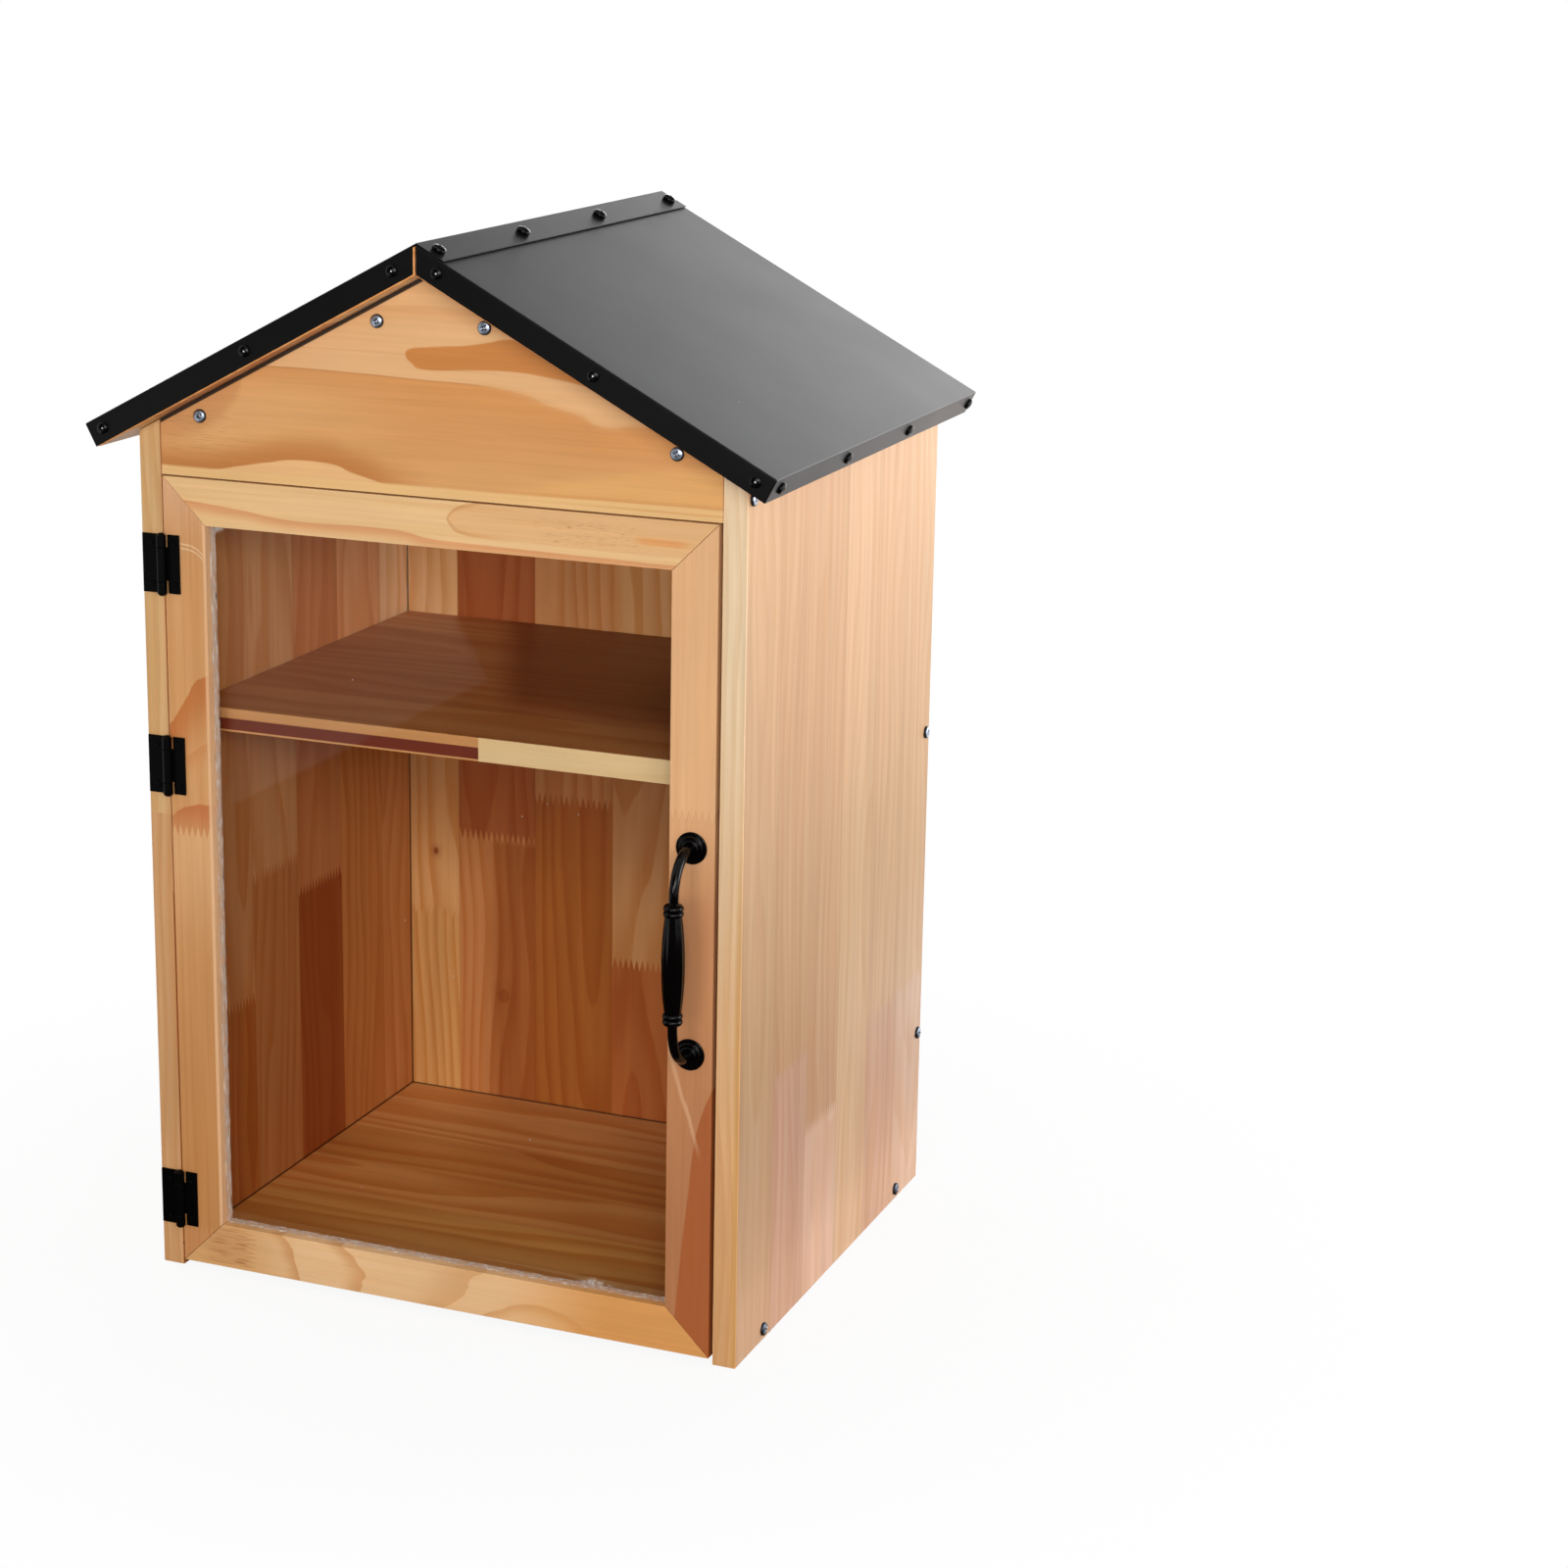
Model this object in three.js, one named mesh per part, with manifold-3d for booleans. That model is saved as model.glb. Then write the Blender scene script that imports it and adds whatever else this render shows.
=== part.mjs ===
// Street book exchange box: a small gabled cabinet of glued pine boards with a folded sheet metal
// roof, a glazed door on three surface hinges and one loose shelf.
// Millimetres, +Z up, the front faces -Y, and the origin is the middle of the underside.
import * as THREE from "three";
import { mergeVertices } from "three/addons/utils/BufferGeometryUtils.js";
import Module from "manifold-3d";

const wasm = await Module();
wasm.setup();

// Body
const bodyWidth = 400;
const bodyDepth = 340;
const wallHeight = 546;
const boardThickness = 15;
const seat = 0.3;
const overrun = 5;
const weld = 0.0001;

// Roof
const roofPitch = THREE.MathUtils.degToRad(28);
const eaveReach = 25.3;
const frontReach = 20.7;
const sheetThickness = 0.8;
const bareBoardEdge = 1.1;
const bareEaveEdge = 0.6;
const ridgeStrip = 2.3;
const ridgeFlange = 20;
const ridgeSheetStart = 2;
const battenSize = 20;
const upperBattenOffset = 35;
const lowerBattenInset = 28.5;

// Door
const gableGap = 1;
const gableBottom = 520;
const doorBottom = 3.5;
const doorHingeGap = 0.5;
const doorHandleGap = 2.5;
const doorBackGap = 1;
const frameWidth = 29;
const paneSetback = 11;
const paneThickness = 3;
const paneLap = 9;
const paneClearance = 0.5;
const sealantDepth = 6;
const sealantWidth = 1.2;

// Shelf
const shelfTop = 370;
const shelfSetback = 23.7;
const shelfClearance = 0.5;
const pinRadius = 2.5;
const pinOut = 8;
const pinIn = 8;
const pinInset = 40;

// Hinges
const hingeHeight = 37;
const frameLeafReach = 14.5;
const doorLeafReach = 11.5;
const leafThickness = 1.2;
const barrelRadius = 3;
const endKnuckle = 7.6;
const hingePinRadius = 1.4;
const hingePinHeadRadius = 2.3;
const hingePinHeadHeight = 1;
const upperHingeDrop = 54.7;
const lowerHingeRise = 43.3;
const middleHingeShare = 0.693;

// Handle
const handleCentres = 128;
const handleMiddle = 261.5;
const handleReach = 27;
const handleFoot = 6;
const rosetteRadius = 9.75;
const rosetteThickness = 3.4;
const rosetteStepShares = [[1, 0.3], [0.94, 0.42], [0.8, 0.42], [0.74, 0.72], [0.58, 0.72], [0.5, 1]];
const neckRadius = 3.1;
const neckLanding = 24;
const collarRadius = 6.1;
const collarHeight = 8;
const collarOffset = 33;
const collarWaistShare = 0.86;
const collarBeadShares = [0.3, 0.7];
const gripRadius = 7;
const gripEndRadius = 4.7;
const gripFlutes = 10;
const gripFluteShare = 0.06;

// Magnet catch
const catchReach = 13;
const catchDepth = 12;
const catchHeight = 26;
const catchEar = 8;
const catchEarThickness = 2;
const magnetReach = 8;
const magnetDepth = 4;
const magnetHeight = 18;
const strikeWidth = 10;
const strikeHeight = 44;
const strikeScrewInset = 5;
const strikeThickness = 1;

// Fasteners
const headCrownShare = 0.62;
const headShoulderShare = 0.92;
const headRimShare = 0.35;
const zincScrew = { headRadius: 4.15, headHeight: 2.6, shankRadius: 1.75 };
const blackScrew = { headRadius: 4.25, headHeight: 3.2, shankRadius: 1.6 };
const strikeScrew = { headRadius: 2.5, headHeight: 1.4, shankRadius: 1.1 };
const handleScrew = { headRadius: 3.8, headHeight: 2.2, shankRadius: 1.75 };
const edgeBite = 13;
const battenBite = 14;
const footBite = 5;
const strikeBite = 8;
const ridgeScrewLength = 10;
const bottomScrewInset = 46;
const backScrewRise = 108;
const topScrewDrop = 12;
const ridgeScrewOffset = 10.5;
const ridgeScrewInset = 10.5;
const ridgeScrewCount = 4;

// Smoothness
const screwSides = 8;
const barrelSides = 16;
const rosetteSides = 28;
const neckSides = 10;
const neckSteps = 9;
const gripSides = 40;
const gripRows = 8;
const collarSides = 18;

// Places that follow from the sizes above
const front = -bodyDepth / 2;
const rear = bodyDepth / 2;
const innerHalf = bodyWidth / 2 - boardThickness;
const slopeSine = Math.sin(roofPitch);
const slopeCosine = Math.cos(roofPitch);
const slopeTangent = Math.tan(roofPitch);
const apex = wallHeight + seat / slopeCosine + (bodyWidth / 2) * slopeTangent;
const eaveRun = bodyWidth / 2 + eaveReach;
const sheetInner = boardThickness + seat;
const sheetOuter = sheetInner + sheetThickness;
const flangeInner = sheetOuter + seat;
const flangeOuter = flangeInner + sheetThickness;
const foldRun = (eaveRun - sheetOuter * slopeSine) / slopeCosine;
const boardRun = foldRun - sheetThickness - seat;
const roofFront = front - frontReach;
const roofRear = rear + seat + sheetThickness;
const boardFront = roofFront + sheetThickness + seat;
const doorTop = gableBottom - gableGap;
const doorLeft = -innerHalf + doorHingeGap;
const doorRight = innerHalf - doorHandleGap;
const doorBack = front + boardThickness;
const openingLeft = doorLeft + frameWidth;
const openingRight = doorRight - frameWidth;
const openingBottom = doorBottom + frameWidth;
const openingTop = doorTop - frameWidth;
const paneFront = front + paneSetback + seat;
const paneBack = paneFront + paneThickness;
const hingeX = -innerHalf + doorHingeGap / 2;
const hingeY = front - seat - barrelRadius;
const leafFront = front - seat - leafThickness;
const upperHinge = doorTop - upperHingeDrop;
const lowerHinge = doorBottom + lowerHingeRise;
const middleHinge = lowerHinge + (upperHinge - lowerHinge) * middleHingeShare;
const handleX = (openingRight + doorRight) / 2;
const shelfBottom = shelfTop - boardThickness;
const pinHeight = shelfBottom - seat - pinRadius;
const strikeX = doorRight - doorHandleGap - strikeWidth / 2;
const catchFront = doorBack + seat + strikeThickness + seat;
const catchMiddleY = catchFront + catchDepth / 2;
const catchInner = innerHalf - seat;

// Solids from three.js geometry, joined and cut as manifolds
function toSolid(geometry) {
  geometry.deleteAttribute("normal");
  geometry.deleteAttribute("uv");
  const merged = mergeVertices(geometry, weld);
  const triangles = [];
  for (let i = 0; i < merged.index.count; i += 3) {
    const [a, b, c] = [0, 1, 2].map((k) => merged.index.getX(i + k));
    if (a !== b && b !== c && c !== a) triangles.push(a, b, c);
  }
  return new wasm.Manifold(new wasm.Mesh({
    numProp: 3,
    vertProperties: new Float32Array(merged.attributes.position.array),
    triVerts: new Uint32Array(triangles),
  }));
}

function toGeometry(solid) {
  const { vertProperties, triVerts } = solid.getMesh();
  const geometry = new THREE.BufferGeometry();
  geometry.setAttribute("position", new THREE.BufferAttribute(vertProperties, 3));
  geometry.setIndex(new THREE.BufferAttribute(triVerts, 1));
  return geometry;
}

const join = (solids) => solids.reduce((whole, next) => whole.add(next));

function block(x0, x1, y0, y1, z0, z1) {
  const geometry = new THREE.BoxGeometry(x1 - x0, y1 - y0, z1 - z0);
  geometry.translate((x0 + x1) / 2, (y0 + y1) / 2, (z0 + z1) / 2);
  return toSolid(geometry);
}

// An outline in X and Z, carried along Y
function prism(outline, y0, y1) {
  const shape = new THREE.Shape(outline.map(([x, z]) => new THREE.Vector2(x, z)));
  const geometry = new THREE.ExtrudeGeometry(shape, { depth: y1 - y0, bevelEnabled: false });
  geometry.rotateX(Math.PI / 2);
  geometry.translate(0, y1, 0);
  return toSolid(geometry);
}

// A profile of [radius, height] pairs, from its low end to its high end, turned about its axis.
// The axis starts at a point and runs along a direction.
function turned(profile, sides, at, along) {
  const geometry = new THREE.LatheGeometry(profile.map(([r, h]) => new THREE.Vector2(r, h)), sides);
  const turn = new THREE.Quaternion().setFromUnitVectors(new THREE.Vector3(0, 1, 0), along);
  geometry.applyQuaternion(turn);
  geometry.translate(at.x, at.y, at.z);
  return toSolid(geometry);
}

const rod = (radius, length, sides, at, along) =>
  turned([[0, 0], [radius, 0], [radius, length], [0, length]], sides, at, along);

const point = (x, y, z) => new THREE.Vector3(x, y, z);
const toRight = point(1, 0, 0);
const toLeft = point(-1, 0, 0);
const toRear = point(0, 1, 0);
const toFront = point(0, -1, 0);
const upward = point(0, 0, 1);

function row(first, last, count) {
  return Array.from({ length: count }, (_, i) => first + ((last - first) * i) / (count - 1));
}

// The roof slopes: run is measured down the underside of a board from the ridge, lift is square to it
const runAt = (x, lift) => (x - lift * slopeSine) / slopeCosine;
const onSlope = (side, run, lift) => [
  side * (run * slopeCosine + lift * slopeSine),
  apex - run * slopeSine + lift * slopeCosine,
];
const above = (x, lift) => apex + lift / slopeCosine - Math.abs(x) * slopeTangent;
const slopeUp = (side) => point(side * slopeSine, 0, slopeCosine);
const slopeDown = (side) => point(side * slopeCosine, 0, -slopeSine);
const slopePlace = (side, run, lift, y) => {
  const [x, z] = onSlope(side, run, lift);
  return point(x, y, z);
};

// Screws: each place is the point of the surface under the head and the direction into the material
function screws(kind, length, places) {
  const { headRadius, headHeight, shankRadius } = kind;
  const profile = [
    [0, -headHeight - seat],
    [headRadius * headCrownShare, -headHeight * headShoulderShare - seat],
    [headRadius, -headHeight * headRimShare - seat],
    [headRadius, -seat],
    [shankRadius, -seat],
    [shankRadius, length - shankRadius],
    [0, length],
  ];
  const solids = places.map(({ at, into }) => turned(profile, screwSides, at, into));
  return { solids, places, reach: length, holeRadius: shankRadius + seat };
}

function drill(solid, ...sets) {
  let drilled = solid;
  for (const { places, reach, holeRadius } of sets) {
    for (const { at, into } of places) {
      const start = at.clone().addScaledVector(into, -overrun);
      drilled = drilled.subtract(rod(holeRadius, overrun + reach + seat, screwSides, start, into));
    }
  }
  return drilled;
}

const bothSides = [["left", -1], ["right", 1]];
const group = new THREE.Group();
const finishes = {
  pine: { color: 0xd9a66c, roughness: 0.5, metalness: 0 },
  innerPine: { color: 0x9a6236, roughness: 0.55, metalness: 0 },
  roofSheet: { color: 0x4c4b4b, roughness: 0.38, metalness: 0.35 },
  blackSteel: { color: 0x0c0c0d, roughness: 0.35, metalness: 0.4 },
  blackGloss: { color: 0x070707, roughness: 0.16, metalness: 0.2 },
  zinc: { color: 0x9aa0a8, roughness: 0.3, metalness: 0.9 },
  acrylic: { color: 0xffffff, roughness: 0.03, metalness: 0 },
  sealant: { color: 0xe4e0da, roughness: 0.4, metalness: 0 },
  catchPlastic: { color: 0x5d3d26, roughness: 0.5, metalness: 0 },
  magnet: { color: 0x2b2b2d, roughness: 0.5, metalness: 0.6 },
};

function piece(name, solid, finish) {
  const material = new THREE.MeshStandardMaterial({ ...finishes[finish], flatShading: true });
  if (finish === "acrylic") {
    material.transparent = true;
    material.opacity = 0.25;
  }
  const mesh = new THREE.Mesh(toGeometry(solid), material);
  mesh.name = name;
  group.add(mesh);
}

function pieces(name, solids, finish) {
  solids.forEach((solid, i) => piece(`${name}_${i + 1}`, solid, finish));
}

// Side screws go into the edges of the floor, the back and the gable
const sideScrewPlaces = (side) => {
  const into = side > 0 ? toLeft : toRight;
  const face = (side * bodyWidth) / 2;
  const edge = boardThickness / 2;
  const top = wallHeight - topScrewDrop;
  return [
    [front + bottomScrewInset, edge],
    [rear - bottomScrewInset, edge],
    [rear - edge, backScrewRise],
    [rear - edge, (backScrewRise + top) / 2],
    [front + edge, top],
  ].map(([y, z]) => ({ at: point(face, y, z), into }));
};
const sideScrewLength = boardThickness + seat + edgeBite;
const leftSideScrews = screws(zincScrew, sideScrewLength, sideScrewPlaces(-1));
const rightSideScrews = screws(zincScrew, sideScrewLength, sideScrewPlaces(1));

// Gable screws go into the ends of the battens, ridge screws through both skins into the right board
const battenLift = -seat - battenSize / 2;
const battenOffsets = { upper: upperBattenOffset, lower: innerHalf - lowerBattenInset };
const gableScrews = screws(zincScrew, boardThickness + seat + battenBite,
  bothSides.flatMap(([, side]) => Object.values(battenOffsets).map((x) => ({
    at: slopePlace(side, runAt(x, battenLift), battenLift, front),
    into: toRear,
  }))));
const ridgeScrews = screws(blackScrew, ridgeScrewLength,
  row(roofFront + ridgeScrewInset, roofRear - ridgeScrewInset, ridgeScrewCount).map((y) => ({
    at: slopePlace(1, runAt(ridgeScrewOffset, flangeOuter), flangeOuter, y),
    into: slopeUp(1).negate(),
  })));

// Screws of the handle and the strike plate
const footHeights = [handleMiddle + handleCentres / 2, handleMiddle - handleCentres / 2];
const handleScrews = screws(handleScrew, boardThickness + seat + footBite,
  footHeights.map((z) => ({ at: point(handleX, doorBack, z), into: toFront })));
const strikeScrews = screws(strikeScrew, strikeThickness + seat + strikeBite, [{
  at: point(
    strikeX,
    doorBack + seat + strikeThickness,
    handleMiddle + strikeHeight / 2 - strikeScrewInset,
  ),
  into: toFront,
}]);

// Loose pins under the four corners of the shelf
const pinYs = [front + shelfSetback + pinInset, rear - boardThickness - pinInset];
const pinPlaces = (side) => pinYs.map((y) => point(side * (innerHalf - pinOut), y, pinHeight));
const shelfPins = bothSides.flatMap(([, side]) => pinPlaces(side).map((at) =>
  rod(pinRadius, pinOut + pinIn, barrelSides, at, side > 0 ? toRight : toLeft)));
const pinHoles = (side) => pinPlaces(side).map((at) =>
  rod(pinRadius + seat, pinOut + pinIn + seat, barrelSides, at, side > 0 ? toRight : toLeft));

// Carcass
function sidePanel(side) {
  const outer = (side * bodyWidth) / 2;
  const inner = side * innerHalf;
  const outline = [[inner, 0], [outer, 0], [outer, above(outer, -seat)], [inner, above(inner, -seat)]];
  const panel = pinHoles(side).reduce(
    (whole, hole) => whole.subtract(hole),
    prism(outline, front, rear),
  );
  return drill(panel, leftSideScrews, rightSideScrews);
}

function gableBoard(bottom, y0, y1) {
  const edge = innerHalf - seat;
  const shoulder = above(edge, -seat);
  return prism([[-edge, bottom], [edge, bottom], [edge, shoulder], [0, above(0, -seat)],
    [-edge, shoulder]], y0, y1);
}

function floorBoard() {
  const edge = innerHalf - seat;
  return block(-edge, edge, doorBack + doorBackGap, rear - boardThickness - seat, 0, boardThickness);
}

piece("left_side_panel", sidePanel(-1), "pine");
piece("right_side_panel", sidePanel(1), "pine");
piece("back_panel", drill(gableBoard(0, rear - boardThickness, rear), leftSideScrews, rightSideScrews),
  "pine");
piece("bottom_panel", drill(floorBoard(), leftSideScrews, rightSideScrews), "innerPine");
piece("front_gable", drill(gableBoard(gableBottom, front, doorBack), leftSideScrews, rightSideScrews,
  gableScrews), "pine");

// Roof boards, mitred at the ridge, and the battens that carry them
function roofBoard(side) {
  const mitre = seat / 2;
  const outline = [
    [side * mitre, above(mitre, 0)],
    onSlope(side, boardRun, 0),
    onSlope(side, boardRun, boardThickness),
    [side * mitre, above(mitre, boardThickness)],
  ];
  return drill(prism(outline, boardFront, rear), ridgeScrews);
}

function batten(side, offset) {
  const middle = runAt(offset, battenLift);
  const [high, low] = [middle - battenSize / 2, middle + battenSize / 2];
  const outline = [[high, -seat], [low, -seat], [low, -seat - battenSize], [high, -seat - battenSize]]
    .map(([run, lift]) => onSlope(side, run, lift));
  const bar = prism(outline, doorBack + seat, rear - boardThickness - seat);
  return drill(bar, gableScrews);
}

for (const [word, side] of bothSides) {
  piece(`${word}_roof_board`, roofBoard(side), "pine");
  for (const [level, offset] of Object.entries(battenOffsets)) {
    piece(`${word}_${level}_batten`, batten(side, offset), "pine");
  }
}

// Sheet metal skins: a flat sheet with its front, rear and eave edges folded down over the board.
// The left skin also laps over the ridge onto the right one.
function skin(side, ridgeTop, ridgeUnder) {
  const section = [
    ...ridgeTop,
    onSlope(side, foldRun, sheetOuter),
    onSlope(side, foldRun, bareEaveEdge),
    onSlope(side, foldRun - sheetThickness, bareEaveEdge),
    onSlope(side, foldRun - sheetThickness, sheetInner),
    ...ridgeUnder,
  ];
  const strip = ridgeStrip / 2;
  const foldTop = (sheetInner + sheetOuter) / 2;
  const foldEnd = foldRun - sheetThickness / 2;
  const endFold = [
    [side * strip, above(strip, foldTop)],
    onSlope(side, foldEnd, foldTop),
    onSlope(side, foldEnd, bareBoardEdge),
    [side * strip, above(strip, bareBoardEdge)],
  ];
  return drill(join([
    prism(section, roofFront, roofRear),
    prism(endFold, roofFront, roofFront + sheetThickness),
    prism(endFold, roofRear - sheetThickness, roofRear),
  ]), ridgeScrews);
}

const ridgeBend = (seat + sheetThickness) / (2 * slopeSine);
const flangeEnd = runAt(ridgeBend, flangeOuter) + ridgeFlange;
const leftSkin = skin(-1,
  [onSlope(1, flangeEnd, flangeOuter), [ridgeBend, above(ridgeBend, flangeOuter)]],
  [[ridgeBend, above(ridgeBend, flangeInner)], onSlope(1, flangeEnd, flangeInner)]);
const rightSkin = skin(1,
  [[ridgeSheetStart, above(ridgeSheetStart, sheetOuter)]],
  [[ridgeSheetStart, above(ridgeSheetStart, sheetInner)]]);
piece("left_roof_skin", leftSkin, "roofSheet");
piece("right_roof_skin", rightSkin, "roofSheet");

// Door frame: four mitred members with a rebate behind for the pane
function frameMember(outline) {
  const lap = paneLap + paneClearance;
  const rebate = block(openingLeft - lap, openingRight + lap, front + paneSetback, doorBack + overrun,
    openingBottom - lap, openingTop + lap);
  const member = prism(outline, front, doorBack).subtract(rebate);
  return drill(member, handleScrews, strikeScrews);
}

const mitreGap = seat * Math.SQRT2;
const stile = (outer, inner) => [
  [outer, doorBottom + mitreGap],
  [inner, openingBottom + mitreGap],
  [inner, openingTop - mitreGap],
  [outer, doorTop - mitreGap],
];
const rail = (outer, inner) => [
  [doorLeft, outer],
  [doorRight, outer],
  [openingRight, inner],
  [openingLeft, inner],
];
piece("hinge_stile", frameMember(stile(doorLeft, openingLeft)), "pine");
piece("handle_stile", frameMember(stile(doorRight, openingRight)), "pine");
piece("top_rail", frameMember(rail(doorTop, openingTop)), "pine");
piece("bottom_rail", frameMember(rail(doorBottom, openingBottom)), "pine");

// Pane and the bead of sealant around its front
const pane = block(openingLeft - paneLap, openingRight + paneLap, paneFront, paneBack,
  openingBottom - paneLap, openingTop + paneLap);
piece("clear_pane", pane, "acrylic");
const sealantBlock = (inset, y0, y1) => block(openingLeft + inset, openingRight - inset, y0, y1,
  openingBottom + inset, openingTop - inset);
const sealantBack = paneFront - seat;
const sealantFront = sealantBack - sealantDepth;
piece("pane_sealant", sealantBlock(seat, sealantFront, sealantBack).subtract(
  sealantBlock(seat + sealantWidth, sealantFront - overrun, sealantBack + overrun)), "sealant");

// Hinges: the frame leaf holds the end knuckles and the door leaf the middle one
function knuckle(low, high) {
  return rod(barrelRadius, high - low, barrelSides, point(hingeX, hingeY, low), upward);
}

function leaf(side, reach, middle) {
  const [low, high] = [middle - hingeHeight / 2, middle + hingeHeight / 2];
  const [lowEnd, highEnd] = [low + endKnuckle, high - endKnuckle];
  const plate = (from, bottom, top) => {
    const xs = [hingeX + side * from, hingeX + side * reach].sort((a, b) => a - b);
    return block(xs[0], xs[1], leafFront, front - seat, bottom, top);
  };
  const clear = barrelRadius + seat;
  const solids = side < 0
    ? [plate(clear, low, high), plate(0, low, lowEnd), plate(0, highEnd, high),
      knuckle(low, lowEnd), knuckle(highEnd, high)]
    : [plate(clear, low, high), plate(0, lowEnd + seat, highEnd - seat),
      knuckle(lowEnd + seat, highEnd - seat)];
  const bore = rod(hingePinRadius + seat, hingeHeight + 2 * overrun, barrelSides,
    point(hingeX, hingeY, low - overrun), upward);
  return join(solids).subtract(bore);
}

function hingePin(middle) {
  const half = hingeHeight / 2 + seat;
  const end = half + hingePinHeadHeight;
  return turned([
    [0, -end],
    [hingePinHeadRadius, -end],
    [hingePinHeadRadius, -half],
    [hingePinRadius, -half],
    [hingePinRadius, half],
    [hingePinHeadRadius, half],
    [hingePinHeadRadius, end],
    [0, end],
  ], barrelSides, point(hingeX, hingeY, middle), upward);
}

const hinges = { upper: upperHinge, middle: middleHinge, lower: lowerHinge };
for (const [level, middle] of Object.entries(hinges)) {
  piece(`${level}_hinge_frame_leaf`, leaf(-1, frameLeafReach, middle), "blackSteel");
  piece(`${level}_hinge_door_leaf`, leaf(1, doorLeafReach, middle), "blackSteel");
  piece(`${level}_hinge_pin`, hingePin(middle), "blackSteel");
}

// Handle: a fluted grip between two collars, on two bent necks that stand in stepped rosettes
function neck(end) {
  const footY = front - seat;
  const gripY = front - handleReach;
  const bendStart = footY - handleFoot;
  const footZ = handleMiddle + (end * handleCentres) / 2;
  const bend = row(0, Math.PI / 2, neckSteps).map((angle) => point(
    handleX,
    bendStart + (gripY - bendStart) * Math.sin(angle),
    footZ - end * neckLanding * (1 - Math.cos(angle)),
  ));
  const points = [point(handleX, footY, footZ), ...bend,
    point(handleX, gripY, handleMiddle + end * collarOffset)];
  const section = new THREE.Shape();
  section.absarc(0, 0, neckRadius, 0, 2 * Math.PI);
  const path = new THREE.CurvePath();
  points.slice(1).forEach((p, i) => path.add(new THREE.LineCurve3(points[i], p)));
  const geometry = new THREE.ExtrudeGeometry(section, {
    steps: 2 * neckSteps,
    curveSegments: neckSides,
    extrudePath: path,
    bevelEnabled: false,
  });
  return toSolid(geometry);
}

function collar(end) {
  const half = collarHeight / 2;
  const waist = collarRadius * collarWaistShare;
  const beads = collarBeadShares.map((share) => [collarRadius, half * share]);
  const mirrored = beads.map(([r, h]) => [r, -h]).reverse();
  const profile = [[0, -half], [waist, -half], ...mirrored, [waist, 0], ...beads, [waist, half], [0, half]];
  const middle = point(handleX, front - handleReach, handleMiddle + end * collarOffset);
  return turned(profile, collarSides, middle, upward);
}

function grip() {
  const half = collarOffset;
  const swell = (h) => gripEndRadius + (gripRadius - gripEndRadius) * (1 - (h / half) ** 2);
  const rows = row(-half, half, gripRows).map((h) => [swell(h), h]);
  const profile = [[0, -half], ...rows, [0, half]];
  const points = profile.map(([r, h]) => new THREE.Vector2(r, h));
  const geometry = new THREE.LatheGeometry(points, gripSides);
  const position = geometry.attributes.position;
  for (let i = 0; i < position.count; i += 1) {
    const angle = Math.atan2(position.getX(i), position.getZ(i));
    const flute = 1 - gripFluteShare * (1 + Math.cos(gripFlutes * angle)) / 2;
    position.setX(i, position.getX(i) * flute);
    position.setZ(i, position.getZ(i) * flute);
  }
  geometry.rotateX(Math.PI / 2);
  geometry.translate(handleX, front - handleReach, handleMiddle);
  return toSolid(geometry);
}

function rosette(z) {
  const bore = neckRadius + seat;
  const profile = [
    [bore, 0],
    [rosetteRadius, 0],
    ...rosetteStepShares.map(([r, h]) => [r * rosetteRadius, h * rosetteThickness]),
    [bore, rosetteThickness],
    [bore, 0],
  ];
  return turned(profile, rosetteSides, point(handleX, front - seat, z), toFront);
}

const bar = join([grip(), collar(-1), collar(1), neck(-1), neck(1)]);
piece("handle_bar", drill(bar, handleScrews), "blackGloss");
piece("upper_handle_rosette", rosette(footHeights[0]), "blackGloss");
piece("lower_handle_rosette", rosette(footHeights[1]), "blackGloss");

// Magnet catch on the right wall and the steel plate that it pulls on the door
const catchSpan = (half) => [handleMiddle - half, handleMiddle + half];
const catchBack = catchFront + catchDepth;
const ears = block(catchInner - catchEarThickness, catchInner, catchFront, catchBack,
  ...catchSpan(catchHeight / 2 + catchEar));
const casing = block(catchInner - catchReach, catchInner, catchFront, catchBack,
  ...catchSpan(catchHeight / 2));
const magnetX = catchInner - catchReach / 2;
const magnetBlock = (gap, mouth) => block(
  magnetX - magnetReach / 2 - gap,
  magnetX + magnetReach / 2 + gap,
  mouth,
  catchFront + magnetDepth + gap,
  ...catchSpan(magnetHeight / 2 + gap),
);
piece("magnet_catch_case", casing.add(ears).subtract(magnetBlock(seat, catchFront - overrun)),
  "catchPlastic");
piece("catch_magnet", magnetBlock(0, catchFront), "magnet");
const plate = block(strikeX - strikeWidth / 2, strikeX + strikeWidth / 2, doorBack + seat,
  doorBack + seat + strikeThickness, ...catchSpan(strikeHeight / 2));
piece("catch_strike_plate", drill(plate, strikeScrews), "zinc");

// Shelf
piece("shelf_board", block(-innerHalf + shelfClearance, innerHalf - shelfClearance,
  front + shelfSetback, rear - boardThickness - shelfClearance, shelfBottom, shelfTop), "innerPine");
pieces("shelf_pin", shelfPins, "zinc");

// Fasteners
pieces("left_side_screw", leftSideScrews.solids, "zinc");
pieces("right_side_screw", rightSideScrews.solids, "zinc");
pieces("gable_screw", gableScrews.solids, "zinc");
pieces("ridge_screw", ridgeScrews.solids, "blackGloss");
pieces("handle_screw", handleScrews.solids, "zinc");
piece("strike_screw", strikeScrews.solids[0], "zinc");

export default group;
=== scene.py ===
"""A street book exchange box: glued pine boards under a folded sheet metal roof, a glazed door on
three surface hinges, a black pull handle and a loose shelf. Lengths are in millimetres for the box,
whose meshes are made in metres, and in metres for the studio, lamps and camera. The front faces -Y."""

import math
import random

import bmesh
import bpy
from mathutils import Matrix, Vector


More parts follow.
